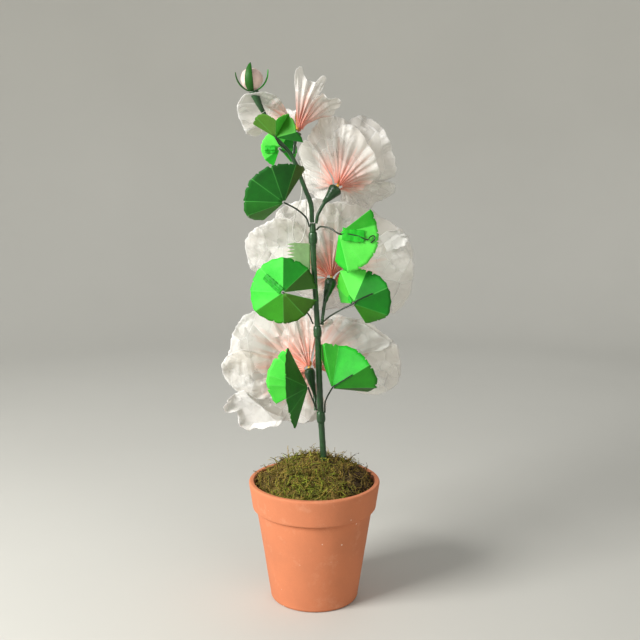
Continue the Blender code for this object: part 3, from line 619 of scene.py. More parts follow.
def spread(tree, value, low, high, to_low=0.0, to_high=1.0):
    """A value's range from low to high, brought to another range and held there."""
    return node(tree, "MapRange", {"Value": value, "From Min": low, "From Max": high,
                                   "To Min": to_low, "To Max": to_high}).outputs["Result"]


def sums(tree, operation, first, second):
    """One arithmetic step."""
    return node(tree, "Math", {0: first, 1: second}, operation=operation).outputs[0]


def relief(tree, height, distance, strength=1.0):
    """A normal bent by a height, in metres of relief."""
    return node(tree, "Bump", {"Height": height, "Distance": distance,
                               "Strength": strength}).outputs["Normal"]


def mark(tree, label):
    """A value stored on the piece's points."""
    return node(tree, "Attribute", attribute_name=label)


def lay_of(tree, scale):
    """The piece's own lay, its two directions scaled."""
    lay = node(tree, "UVMap", uv_map="Lay").outputs["UV"]
    return node(tree, "VectorMath", {0: lay, 1: (*scale, 1.0)}, operation="MULTIPLY").outputs[0]


def clay_finish(settings):
    """Fired clay: mottled by two sizes of noise, with a pale bloom in patches and a few
    white and dark specks, and a fine grain with turning lines in its relief."""
    material, tree, shader = start_finish("fired_clay", Roughness=0.86)
    where = place_of(tree)
    broad = noise(tree, where, 22.0, 4.0, 0.6)
    fine = noise(tree, where, 900.0, 2.0)
    colour = mixed(tree, spread(tree, broad, 0.35, 0.70), rgba(settings.clay, 0.93),
                   rgba(settings.clay, 1.07))
    bloom = noise(tree, where, 55.0, 6.0, 0.7)
    colour = mixed(tree, spread(tree, bloom, 0.56, 0.80, 0.0, 0.45), colour,
                   rgba(settings.bloom))
    colour = mixed(tree, spread(tree, fine, 0.30, 0.70, 0.10, 0.0), colour,
                   rgba(settings.clay, 0.6))
    specks = node(tree, "TexVoronoi", {"Vector": where, "Scale": 160.0})
    rare = sums(tree, "GREATER_THAN", noise(tree, where, 75.0, 1.0), 0.66)
    white = spread(tree, specks.outputs["Distance"], 0.10, 0.16, 1.0, 0.0)
    colour = mixed(tree, sums(tree, "MULTIPLY", white, rare), colour, (0.80, 0.62, 0.50, 1.0))
    tree.links.new(colour, shader.inputs["Base Color"])
    rings = node(tree, "Mapping", {"Vector": where, "Scale": (6.0, 6.0, 900.0)}).outputs[0]
    lines = noise(tree, rings, 1.0, 2.0)
    height = sums(tree, "ADD", sums(tree, "MULTIPLY", lines, 0.5), fine)
    tree.links.new(relief(tree, height, 0.00025, 0.5), shader.inputs["Normal"])
    tree.links.new(spread(tree, broad, 0.3, 0.7, 0.80, 0.92), shader.inputs["Roughness"])
    return material


def foam_finish(settings):
    """Dull foam: two sizes of pores."""
    material, tree, shader = start_finish("filler_foam", Roughness=0.95)
    where = place_of(tree)
    pores = node(tree, "TexVoronoi", {"Vector": where, "Scale": 700.0}).outputs["Distance"]
    colour = mixed(tree, pores, rgba(settings.foam, 0.5), rgba(settings.foam, 1.3))
    tree.links.new(colour, shader.inputs["Base Color"])
    tree.links.new(relief(tree, pores, 0.0006), shader.inputs["Normal"])
    return material


def moss_finish():
    """Dried moss: each frond's stored colour, which carries painted light at the front left of the
    mound and painted shade at its right, broken up by fine noise.
    """
    material, tree, shader = start_finish("dried_moss", Roughness=0.9)
    where = place_of(tree)
    tint = mark(tree, "tint").outputs["Color"]
    fine = noise(tree, where, 1500.0, 3.0, 0.6)
    colour = mixed(tree, spread(tree, fine, 0.25, 0.75, 0.0, 0.6), tint, (0.02, 0.015, 0.005, 1))
    tree.links.new(colour, shader.inputs["Base Color"])
    tree.links.new(relief(tree, fine, 0.0004), shader.inputs["Normal"])
    return material


def tape_finish(settings, name="waxed_tape", tone=1.0):
    """Waxed green tape wound in a helix: a height that falls from each turn's edge to the
    next, a dark line at the edge, and fine stretch marks along the tape."""
    material, tree, shader = start_finish(name, Roughness=0.36, Coat_Weight=0.35,
                                          Coat_Roughness=0.30)
    lay = node(tree, "SeparateXYZ", {"Vector": lay_of(tree, (1.0, 1.0))})
    turns = sums(tree, "DIVIDE", lay.outputs["Y"], settings.pitch)
    where = place_of(tree)
    wander = spread(tree, noise(tree, where, 60.0, 2.0), 0.0, 1.0, -0.25, 0.25)
    phase = sums(tree, "ADD", sums(tree, "ADD", turns, lay.outputs["X"]), wander)
    step = sums(tree, "FRACT", phase, 0.0)
    edge = spread(tree, step, 0.0, 0.09, 1.0, 0.0)
    stretch_lay = node(tree, "VectorMath", {0: where, 1: (500.0, 500.0, 1500.0)},
                       operation="MULTIPLY").outputs[0]
    stretch = noise(tree, stretch_lay, 1.0, 3.0, 0.6)
    broad = noise(tree, where, 90.0, 3.0)
    colour = mixed(tree, spread(tree, broad, 0.3, 0.75), rgba(settings.tape, 0.70 * tone),
                   rgba(settings.tape, 1.50 * tone))
    colour = mixed(tree, sums(tree, "MULTIPLY", edge, 0.75), colour,
                   rgba(settings.overlap, tone))
    tree.links.new(colour, shader.inputs["Base Color"])
    height = sums(tree, "ADD", sums(tree, "MULTIPLY", step, -0.8),
                  sums(tree, "MULTIPLY", stretch, 0.35))
    tree.links.new(relief(tree, height, 0.0003, 0.8), shader.inputs["Normal"])
    tree.links.new(spread(tree, stretch, 0.3, 0.7, 0.26, 0.46), shader.inputs["Roughness"])
    return material


def tissue_finish(settings):
    """Waxed tissue: coral streaks that fade outwards along the pleats, straight white
    lines where it was creased (partly wax whitened in the crease and partly painted glints, with a
    painted highlight along the rim), and flat facets tilted at random between finer creases.
    Thin and half clear, so that light and what is behind it show, most of all where it is
    neither creased nor dyed."""
    material, tree, shader = start_finish("waxed_tissue", Roughness=0.34,
                                          Specular_IOR_Level=0.5)
    where = place_of(tree)
    blush = mark(tree, "blush").outputs["Fac"]
    crease = mark(tree, "crease").outputs["Fac"]
    streaks = noise(tree, lay_of(tree, (7.0, 0.7)), 1.0, 4.0, 0.6)
    fine = noise(tree, lay_of(tree, (30.0, 1.6)), 1.0, 3.0, 0.6)
    blotch = noise(tree, where, 45.0, 2.0)
    wash = sums(tree, "ADD", blush, spread(tree, streaks, 0.25, 0.75, -0.42, 0.42))
    wash = sums(tree, "ADD", wash, spread(tree, fine, 0.2, 0.8, -0.16, 0.16))
    wash = sums(tree, "ADD", wash, spread(tree, blotch, 0.2, 0.8, -0.16, 0.16))
    colour = mixed(tree, spread(tree, wash, 0.05, 0.70), rgba(settings.tissue),
                   rgba(settings.salmon))
    colour = mixed(tree, spread(tree, wash, 0.62, 1.15), colour, rgba(settings.coral))
    wide = noise(tree, where, 16.0, 2.0)
    patches = spread(tree, noise(tree, where, 38.0, 2.0), 0.46, 0.60)
    lines, facets = 0.0, 0.0
    for scale, width, weight, tilt in ((34.0, 0.020, 0.95, 0.95), (95.0, 0.045, 0.60, 0.95)):
        stretched = node(tree, "VectorMath", {0: where, 1: (1.0, 1.0, 0.72)},
                         operation="MULTIPLY").outputs[0]
        edge = node(tree, "TexVoronoi", {"Vector": stretched, "Scale": scale},
                    feature="DISTANCE_TO_EDGE").outputs["Distance"]
        cell = node(tree, "TexVoronoi", {"Vector": stretched, "Scale": scale})
        line = sums(tree, "MULTIPLY", spread(tree, edge, 0.0, width, weight, 0.0),
                    spread(tree, wide, 0.40, 0.60, 0.25, 1.0) if scale < 50 else patches)
        lines = line if isinstance(lines, float) else sums(tree, "MAXIMUM", lines, line)
        slope = node(tree, "VectorMath", {0: cell.outputs["Color"], 1: (0.5, 0.5, 0.5)},
                     operation="SUBTRACT").outputs[0]
        offset = node(tree, "VectorMath", {0: stretched, 1: cell.outputs["Position"]},
                      operation="SUBTRACT").outputs[0]
        flat = node(tree, "VectorMath", {0: slope, 1: offset}, operation="DOT_PRODUCT")
        height = sums(tree, "MULTIPLY", flat.outputs["Value"], tilt)
        if scale > 50:
            height = sums(tree, "MULTIPLY", height, spread(tree, patches, 0.0, 1.0, 0.25, 1.0))
        facets = height if isinstance(facets, float) else sums(tree, "ADD", facets, height)
    # The white along creases is partly wax whitened where it was creased and partly painted glints;
    # along the rim it is a painted highlight. It also makes the tissue less clear.
    white = sums(tree, "MAXIMUM", crease, lines)
    colour = mixed(tree, sums(tree, "MULTIPLY", white, 0.60), colour, (0.98, 0.97, 0.95, 1.0))
    tree.links.new(colour, shader.inputs["Base Color"])
    wrinkle = noise(tree, where, 500.0, 3.0, 0.6)
    height = sums(tree, "ADD", facets, sums(tree, "MULTIPLY", wrinkle, 0.00012))
    normal = relief(tree, height, 1.0, 0.85)
    tree.links.new(normal, shader.inputs["Normal"])
    tree.links.new(spread(tree, wrinkle, 0.3, 0.7, 0.26, 0.42), shader.inputs["Roughness"])
    glow = node(tree, "BsdfTranslucent", {"Color": colour, "Normal": normal})
    body = node(tree, "MixShader", {0: 0.40, 1: shader.outputs[0], 2: glow.outputs[0]})
    clear = node(tree, "BsdfTransparent", {"Color": (0.93, 0.88, 0.80, 1.0)})
    dyed = spread(tree, wash, 0.2, 1.0, 0.0, 0.30)
    cloud = spread(tree, wide, 0.35, 0.65, 0.0, 0.16)
    solid = sums(tree, "MAXIMUM", sums(tree, "MULTIPLY", white, 0.50), dyed)
    see = sums(tree, "SUBTRACT", sums(tree, "SUBTRACT", 0.42, cloud), solid)
    skin = node(tree, "MixShader", {0: see, 1: body.outputs[0], 2: clear.outputs[0]})
    tree.links.new(skin.outputs[0], tree.nodes["Material Output"].inputs["Surface"])
    return material


def leaf_finish(settings):
    """Bright card: the sector's painted shade, brought from a painted lit tone through the
    paper's fresh green to painted deep shade, and warmed towards olive, mottled, with a faint
    fibre grain and paler folds."""
    material, tree, shader = start_finish("leaf_card", Roughness=0.60,
                                          Specular_IOR_Level=0.35)
    where = place_of(tree)
    fold = mark(tree, "fold").outputs["Fac"]
    shade = mark(tree, "shade").outputs["Fac"]
    warm = mark(tree, "warm").outputs["Fac"]
    broad = noise(tree, where, 60.0, 4.0, 0.6)
    grain = noise(tree, where, 1500.0, 2.0)
    depth = sums(tree, "ADD", shade, spread(tree, broad, 0.3, 0.7, -0.05, 0.07))
    # Painted light and shade: the ramp turns each sector's painted shade into a colour, from a
    # painted lit green through the paper's green to painted shaded greens.
    ramp = node(tree, "ValToRGB", {"Fac": depth})
    stops = [(0.0, rgba(settings.bright)), (0.28, rgba(settings.fresh)),
             (0.56, rgba(settings.full)), (0.84, rgba(settings.deep_shade_and_grain))]
    for place, tone in stops[2:]:
        ramp.color_ramp.elements.new(place)
    for element, (place, tone) in zip(ramp.color_ramp.elements, stops):
        element.position, element.color = place, tone
    # Where warm, the colour is darkened to 0.62 and pulled towards olive: partly the paper's warmer
    # hue and partly painted shade.
    olive = mixed(tree, 1.0, ramp.outputs["Color"], (0.62, 0.62, 0.62, 1.0), "MULTIPLY")
    olive = mixed(tree, spread(tree, depth, 0.3, 0.9, 0.55, 0.25), olive, rgba(settings.olive))
    colour = mixed(tree, warm, ramp.outputs["Color"], olive)
    colour = mixed(tree, spread(tree, grain, 0.3, 0.7, 0.0, 0.10), colour,
                   rgba(settings.deep_shade_and_grain, 0.7))
    colour = mixed(tree, fold, colour, rgba(settings.fold))
    tree.links.new(colour, shader.inputs["Base Color"])
    tree.links.new(relief(tree, grain, 0.00012, 0.6), shader.inputs["Normal"])
    tree.links.new(spread(tree, grain, 0.3, 0.7, 0.50, 0.68), shader.inputs["Roughness"])
    return material


def plain_paper_finish(name, colour, roughness, glow):
    """Thin paper of one dye: cloudy fibres, a fine grain and some light let through."""
    material, tree, shader = start_finish(name, Roughness=roughness)
    where = place_of(tree)
    clouds = noise(tree, where, 160.0, 5.0, 0.65)
    grain = noise(tree, where, 900.0, 3.0, 0.6)
    tone = mixed(tree, spread(tree, clouds, 0.25, 0.75), rgba(colour, 0.80), rgba(colour, 1.12))
    tree.links.new(tone, shader.inputs["Base Color"])
    tree.links.new(relief(tree, grain, 0.0003, 0.7), shader.inputs["Normal"])
    tree.links.new(spread(tree, grain, 0.3, 0.7, roughness - 0.08, roughness + 0.08),
                   shader.inputs["Roughness"])
    if glow:
        through = node(tree, "BsdfTranslucent", {"Color": tone})
        body = node(tree, "MixShader", {0: glow, 1: shader.outputs[0], 2: through.outputs[0]})
        tree.links.new(body.outputs[0], tree.nodes["Material Output"].inputs["Surface"])
    return material


def thread_finish(settings):
    """Twisted thread: a helix of light and dark along it, with its relief."""
    material, tree, shader = start_finish("twisted_thread", Roughness=0.75)
    where = place_of(tree)
    slope = node(tree, "VectorMath", {0: where, 1: (900.0, 900.0, 2200.0)},
                 operation="MULTIPLY").outputs[0]
    twist = node(tree, "TexWave", {"Vector": slope, "Scale": 1.0, "Distortion": 1.0},
                 bands_direction="DIAGONAL").outputs["Fac"]
    colour = mixed(tree, twist, rgba(settings.thread, 0.7), rgba(settings.thread, 1.2))
    tree.links.new(colour, shader.inputs["Base Color"])
    tree.links.new(relief(tree, twist, 0.0001), shader.inputs["Normal"])
    return material


def stage_finish(colour):
    """Matt painted backdrop with the faintest mottling."""
    material, tree, shader = start_finish("stage_paint", Roughness=0.9)
    soft = noise(tree, place_of(tree), 3.0, 3.0)
    tone = mixed(tree, soft, rgba(colour, 0.96), rgba(colour, 1.04))
    tree.links.new(tone, shader.inputs["Base Color"])
    return material


# ---------------------------------------------------------------------------
# Operators, one for each piece or group of like pieces
# ---------------------------------------------------------------------------
class PAPERFLOWER_OT_camera(bpy.types.Operator):
    """Set the camera in front of the plant, a little above its middle."""
    bl_idname = "paper_flower.add_camera"
    bl_label = "Camera"

    def execute(self, context):
        data = bpy.data.cameras.new("camera")
        data.lens, data.sensor_width = 55.03, 36.0
        data.shift_x = 0.0088
        item = bpy.data.objects.new("camera", data)
        item.location = (POT_AXIS[0], -0.9461, 0.4503)
        item.rotation_euler = (math.radians(90 - 10.12), 0.0, 0.0)
        context.scene.collection.objects.link(item)
        context.scene.camera = item
        return {"FINISHED"}


def tag_outline(z_share, x_share):
    """Where the tag's columns lie: the left third is cut into slanting teeth, whose length
    is a triangle wave of the height."""
    tooth = 1 - np.abs((z_share * 9.0) % 1.0 * 2 - 1)
    short = 0.30 * np.clip(1.35 * tooth - 0.15, 0, 1)
    left = -0.5 + 0.30 - short
    return left + (0.5 - left) * x_share


class PAPERFLOWER_OT_tag(bpy.types.Operator):
    """Hang the blank paper tag on its looped thread."""
    bl_idname = "paper_flower.add_tag"
    bl_label = "Tag and thread"

    def execute(self, context):
        settings = context.scene.paper_flower_tag
        z_share = np.linspace(0, 1, 113)[:, None]
        x_share = np.linspace(0, 1, 13)[None, :]
        width, height = TAG_SIZE
        x = tag_outline(z_share, x_share) * width
        rise = 0.16 * np.clip(0.45 - x_share, 0, 1) * height * 0.4
        z = (0.5 - z_share) * height + rise + 0 * x
        corner = eased(0.80, 1.0, x_share) * eased(0.86, 1.0, np.abs(2 * z_share - 1))
        x = x - 0.0016 * corner
        y = 0.0006 * np.sin(x / width * 4.0) + 0.0004 * np.sin(z / height * 5.0)
        grid = np.stack([x, y, z], -1) + TAG_CENTRE
        finish = plain_paper_finish("tag_tissue", settings.paper, 0.6, 0.45)
        tag = new_sheet("tag_card", grid, 0.0005, finish)
        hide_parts("tag")
        curve = bpy.data.curves.new("tag_cord", "CURVE")
        curve.dimensions = "3D"
        curve.bevel_depth = 0.0005
        curve.bevel_resolution = 3
        curve.use_fill_caps = True
        line = smooth_line(THREAD_LINE, THREAD_POINTS) + POT_AXIS
        spline = curve.splines.new("POLY")
        spline.points.add(len(line) - 1)
        spline.points.foreach_set("co", np.column_stack([line, np.ones(len(line))]).ravel())
        cord = bpy.data.objects.new("tag_cord", curve)
        context.scene.collection.objects.link(cord)
        curve.materials.append(thread_finish(settings))
        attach(cord, "root")
        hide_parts("tag_thread")
        return {"FINISHED"}


class PAPERFLOWER_OT_pot(bpy.types.Operator):
    """Turn the clay pot with its band, lip and drain hole, and finish the filler block."""
    bl_idname = "paper_flower.add_pot"
    bl_label = "Clay pot"

    def execute(self, context):
        settings = context.scene.paper_flower_pot
        profile = self.rounded(POT_SECTION, 5)
        turn = np.linspace(0, 2 * math.pi, POT_SIDES, endpoint=False)
        radius, height = profile[:, 0][:, None], profile[:, 1][:, None]
        ring = np.stack([np.cos(turn), np.sin(turn)], -1)[None] + 0 * radius[:, :, None]
        spots = np.concatenate([ring, (height / 0.03 + 0 * turn)[:, :, None]], -1)
        wobble = 0.00018 * soft_noise(spots, 0.8, 3) + 0.00006 * soft_noise(spots, 0.16, 4)
        radius = radius + wobble * (radius > 0.010)
        grid = np.stack([radius * np.cos(turn), radius * np.sin(turn), height + 0 * turn], -1)
        rows = len(profile)
        faces = quads_of(rows + 1, POT_SIDES, True) % (rows * POT_SIDES)
        pot = new_piece("clay_pot", grid + POT_AXIS, [faces], clay_finish(settings))
        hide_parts("pot")
        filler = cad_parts["filler_block"]
        filler.data.materials.clear()
        filler.data.materials.append(foam_finish(settings))
        return {"FINISHED"}

    @staticmethod
    def rounded(corners, steps):
        """A closed loop through the corners, each span read at evenly spaced parameters of
        a Catmull-Rom curve with half its usual slack."""
        before, after = np.roll(corners, 1, axis=0), np.roll(corners, -1, axis=0)
        beyond = np.roll(corners, -2, axis=0)
        reach = np.linalg.norm(after - corners, axis=1)
        lead = unit(after - before) * np.minimum(
            reach, np.linalg.norm(corners - before, axis=1))[:, None]
        tail = unit(beyond - corners) * np.minimum(
            reach, np.linalg.norm(beyond - after, axis=1))[:, None]
        t = (np.arange(steps) / steps)[None, :, None]
        a, b = corners[:, None], after[:, None]
        lead, tail = lead[:, None], tail[:, None]
        points = ((2 * t ** 3 - 3 * t ** 2 + 1) * a + (t ** 3 - 2 * t ** 2 + t) * lead
                  + (-2 * t ** 3 + 3 * t ** 2) * b + (t ** 3 - t ** 2) * tail)
        return points.reshape(-1, 2)


def moss_height(reach, turn):
    """The mound's height at a share of its radius and a direction: a dome that is fuller
    to the back and right, with broad lumps."""
    x, y = reach * np.cos(turn), reach * np.sin(turn)
    dome = MOSS_DOME * np.maximum(1 - reach ** 2, 0) ** 0.8 * (1 + 0.18 * x + 0.22 * y)
    lumps = np.sin(5.1 * x + 0.7) * np.cos(4.3 * y - 0.4) + 0.6 * np.sin(9.2 * y + 6.1 * x)
    return MOSS_EDGE + dome + MOSS_LUMP * lumps * (1 - reach ** 4)


def mound_height(reach, turn):
    """The moss's own surface: the mound, with tufts of two sizes that fade at its edge."""
    spots = np.stack([reach * np.cos(turn), reach * np.sin(turn)], -1)
    tufts = 0.0042 * soft_noise(spots, 0.42, 5) + 0.0020 * soft_noise(spots, 0.15, 6)
    return moss_height(reach, turn) + tufts * (1 - reach ** 6)


class PAPERFLOWER_OT_moss(bpy.types.Operator):
    """Heap the moss: a lumpy mound and the curled strands that lie tangled on it."""
    bl_idname = "paper_flower.add_moss"
    bl_label = "Moss"

    def execute(self, context):
        settings = context.scene.paper_flower_moss
        finish = moss_finish()
        mound, tints, faces = self.mound(settings)
        strands, strand_tints, strand_faces = self.strands(settings)
        points = np.concatenate([mound, strands])
        groups = faces + [strand_faces + len(mound)]
        moss = new_piece("moss_mat", points + POT_AXIS, groups, finish,
                         marks={"tint": np.concatenate([tints, strand_tints])})
        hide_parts("moss")
        return {"FINISHED"}

    @staticmethod
    def tint(x, y, chance, settings):
        """A strand's colour: chance picks between brown, olive and green; the front left of
        the mound is greener as painted light and its right side browner as painted shade."""
        # Painted light and shade: greener towards the lit front left, browner towards the shaded
        # right.
        painted_side_light = 0.20 * eased(-0.3, 0.9, -x) + 0.26 * eased(-0.2, 0.9, -y) - 0.34 * eased(0.1, 0.9, x)
        pick = np.clip(chance + painted_side_light, 0, 1)[..., None]
        brown, olive, green = (np.array(c[:]) for c in
                               (settings.brown, settings.olive, settings.green))
        low = brown + (olive - brown) * np.clip(pick * 2.4, 0, 1)
        return low + (green - low) * np.clip(pick * 2.2 - 1.2, 0, 1)

    def mound(self, settings):
        """A closed mound: rings from the middle to the edge, then down and under."""
        turn = np.linspace(0, 2 * math.pi, 120, endpoint=False)[None, :]
        reach = np.linspace(0.03, 1.0, 34)[:, None]
        x, y = reach * np.cos(turn), reach * np.sin(turn)
        height = mound_height(reach, turn) - 0.0022
        height = height + 0.0012 * soft_noise(np.stack([x, y], -1), 0.04, 8)
        ring = np.stack([x * MOSS_REACH, y * MOSS_REACH, height], -1)
        foot = ring[-1:].copy()
        foot[..., :2] *= 0.90
        foot[..., 2] = MOSS_FOOT
        points = np.concatenate([ring, foot]).reshape(-1, 3)
        top = np.array([[0, 0, float(ring[0, :, 2].mean())]])
        low = np.array([[0, 0, MOSS_FOOT]])
        faces = [group[:, ::-1] for group in capped_faces(len(reach) + 1, turn.size)]
        points = np.concatenate([points, top, low])
        chance = 0.15 + 0.25 * soft_noise(points[:, :2] / MOSS_REACH, 0.2, 7)
        tints = 0.50 * self.tint(points[:, 0] / MOSS_REACH, points[:, 1] / MOSS_REACH, chance,
                                 settings)
        return points, tints, faces

    def strands(self, settings):
        """Strands as three-sided bars bent into arcs, with leaflets as slim spikes along two
        sides; a random stand, length, lean and curl for each."""
        count, joints, leaflets = settings.strands, STRAND_JOINTS, STRAND_LEAFLETS
        draw = np.random.default_rng(11)
        reach, turn = np.sqrt(draw.uniform(0, 1, count)) * 0.985, draw.uniform(0, 2 * np.pi, count)
        root = np.stack([reach * np.cos(turn) * MOSS_REACH, reach * np.sin(turn) * MOSS_REACH,
                         mound_height(reach, turn) - 0.0024], -1)
        step = 0.04
        here = mound_height(*self.polar(root, 0, 0))
        slope_x = mound_height(*self.polar(root, step, 0)) - here
        slope_y = mound_height(*self.polar(root, 0, step)) - here
        up = unit(np.stack([-slope_x / (step * MOSS_REACH), -slope_y / (step * MOSS_REACH),
                            np.ones(count)], -1))
        tilt = unit(draw.normal(0, 1, (count, 3)))
        tilt = unit(tilt - up * (tilt * up).sum(-1, keepdims=True))
        start = unit(up * draw.uniform(0.25, 1.1, count)[:, None] + tilt)
        bend = unit(np.cross(start, draw.normal(0, 1, (count, 3))) - 0.8 * up)
        bend = unit(bend - start * (bend * start).sum(-1, keepdims=True))
        length = settings.strand_length * draw.uniform(0.5, 1.5, count) * (
            1 - 0.45 * eased(0.80, 1.0, reach))
        curl = draw.uniform(0.9, 3.4, count)[:, None, None]
        share = np.linspace(0, 1, joints)[None, :, None]
        line = root[:, None] + (length[:, None, None] / curl) * (
            np.sin(curl * share) * start[:, None] + (1 - np.cos(curl * share)) * bend[:, None])
        line[..., 2] = np.maximum(line[..., 2], STRAND_FLOOR)
        across = unit(np.cross(start, bend))
        other = unit(np.cross(across, start))
        width = (0.00050 * (1 - 0.6 * share)) * draw.uniform(0.8, 1.4, count)[:, None, None]
        angles = np.arange(3) * 2 * math.pi / 3
        ring = line[:, :, None] + width[..., None] * (
            np.cos(angles)[None, None, :, None] * across[:, None, None]
            + np.sin(angles)[None, None, :, None] * other[:, None, None])
        bar = ring.reshape(count, joints * 3, 3)
        walls = quads_of(joints, 3, True)
        bar_faces = np.concatenate([walls[:, [0, 1, 2]], walls[:, [0, 2, 3]], [[0, 2, 1]],
                                    [[joints * 3 - 3, joints * 3 - 2, joints * 3 - 1]]])
        place = np.linspace(0.2, 0.95, leaflets)
        at = np.clip((place * (joints - 1)).astype(int), 0, joints - 2)
        within = (place * (joints - 1) - at)[None, :, None]
        base = line[:, at] * (1 - within) + line[:, at + 1] * within
        side = np.where(np.arange(leaflets) % 2 == 0, 1.0, -1.0)[None, :, None]
        forward = unit(line[:, at + 1] - line[:, at])
        swing = draw.normal(0, 0.35, (count, leaflets, 3))
        aim = unit(forward * 0.9 + side * across[:, None] + swing)
        reach_out = (0.0024 * (1.15 - 0.6 * place))[None, :, None] * draw.uniform(
            0.7, 1.4, (count, leaflets, 1))
        tip = base + aim * reach_out
        flank = unit(np.cross(aim, other[:, None] + 0 * aim)) * 0.00042
        lift = unit(np.cross(flank, aim)) * 0.00020
        spike = np.stack([base + flank, base - flank, base + lift, tip], 2)
        leaf_points = spike.reshape(count, leaflets * 4, 3)
        one = np.array([(0, 1, 2), (0, 3, 1), (1, 3, 2), (2, 3, 0)])
        leaf_faces = (one[None] + 4 * np.arange(leaflets)[:, None, None]).reshape(-1, 3)
        points = np.concatenate([bar, leaf_points], 1)
        pattern = np.concatenate([bar_faces, leaf_faces + joints * 3])
        number = (pattern[None] + points.shape[1] * np.arange(count)[:, None, None])
        x, y = root[:, 0] / MOSS_REACH, root[:, 1] / MOSS_REACH
        patch = 0.40 * soft_noise(np.stack([x, y], -1), 0.34, 9)
        chance = draw.uniform(0.05, 0.85, count) + patch
        tint = self.tint(x, y, chance, settings) * draw.uniform(0.5, 1.7, count)[:, None]
        dark = np.concatenate([np.repeat(np.linspace(0.40, 1.0, joints), 3),
                               np.repeat(0.50 + 0.6 * place, 4)])
        tints = tint[:, None] * dark[None, :, None]
        return points.reshape(-1, 3), tints.reshape(-1, 3), number.reshape(-1, 3)

    @staticmethod
    def polar(root, dx, dy):
        """Reach and turn of points moved by shares of the mound's radius."""
        x, y = root[:, 0] / MOSS_REACH + dx, root[:, 1] / MOSS_REACH + dy
        return np.minimum(np.hypot(x, y), 0.999), np.arctan2(y, x)


def taped(name, stations, sides, count, finish, node_name, seed, rough=1.0):
    """A taped bar: its radius follows the stations, with the steps where the tape laps
    itself and the small lumps of what is under it."""
    def swell(share, metres):
        phase = (metres / TAPE_PITCH + share) % 1.0
        spots = np.stack([np.cos(2 * np.pi * share), np.sin(2 * np.pi * share),
                          metres / 0.004], -1)
        return rough * (0.00010 * (0.5 - phase) + 0.00012 * soft_noise(spots, 1.0, seed))
    points, faces, uv = tube_parts(smooth_line(stations, count), sides, swell)
    item = new_piece(name, points + POT_AXIS, faces, finish, uv)
    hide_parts(node_name)


def stem_station(height):
    """The stem's centre and radius at a height."""
    fine = smooth_line(STEM_LINE, 400)
    return np.stack([np.interp(height, fine[:, 2], fine[:, k]) for k in range(4)], -1)


class PAPERFLOWER_OT_stem(bpy.types.Operator):
    """Sweep the taped main stem, the bud's stalk and the wraps below each joint."""
    bl_idname = "paper_flower.add_stem"
    bl_label = "Stem"

    def execute(self, context):
        finish = tape_finish(context.scene.paper_flower_stem)
        taped("taped_stem", STEM_LINE, 24, 320, finish, "main_stem", seed=21)
        taped("taped_bud_stalk", BUD_STALK_LINE, 20, 170, finish, "bud_stalk", seed=22)
        for number, (name, height) in enumerate(WRAPS.items()):
            levels = np.linspace(height - 0.0058, height + 0.0058, 24)
            stations = stem_station(levels)
            share = np.linspace(-1, 1, 24)
            stations[:, 3] += 0.0003 + 0.0009 * (1 - share ** 4)
            stations[0, 3] = stations[-1, 3] = stem_station(height)[3] * 0.9
            taped(name + "_band", stations, 24, 48, finish, name, seed=30 + number, rough=1.6)
        return {"FINISHED"}


def bowl(flower, turn, way):
    """The surface that a flower's petals share: it leaves a ring round the flower's axis at
    a small lean, which grows to the opening at that turn as one minus a falling
    exponential. Returns the points and the unit vectors inwards."""
    right, up, out = face_frame(flower["face"])
    total, weights = 0.0, 0.0
    for centre, wide in flower["bowl"]:
        weight = np.exp(PETAL_BLEND * np.cos(turn - math.radians(centre)))
        total, weights = total + weight * math.radians(wide), weights + weight
    wide = total / weights
    steps = (np.arange(16) + 0.5) / 16
    lean = wide[..., None] - (wide[..., None] - PETAL_BASE_LEAN) * np.exp(
        -way[..., None] * steps / PETAL_FLARE)
    last = wide - (wide - PETAL_BASE_LEAN) * np.exp(-way / PETAL_FLARE)
    away = (PETAL_RING + way * np.sin(lean).mean(-1))[..., None]
    along = (PETAL_LIFT + way * np.cos(lean).mean(-1))[..., None]
    radial = right * np.cos(turn)[..., None] + up * np.sin(turn)[..., None]
    points = np.array(flower["head"]) + out * along + radial * away
    inward = out * np.sin(last)[..., None] - radial * np.cos(last)[..., None]
    return points, inward


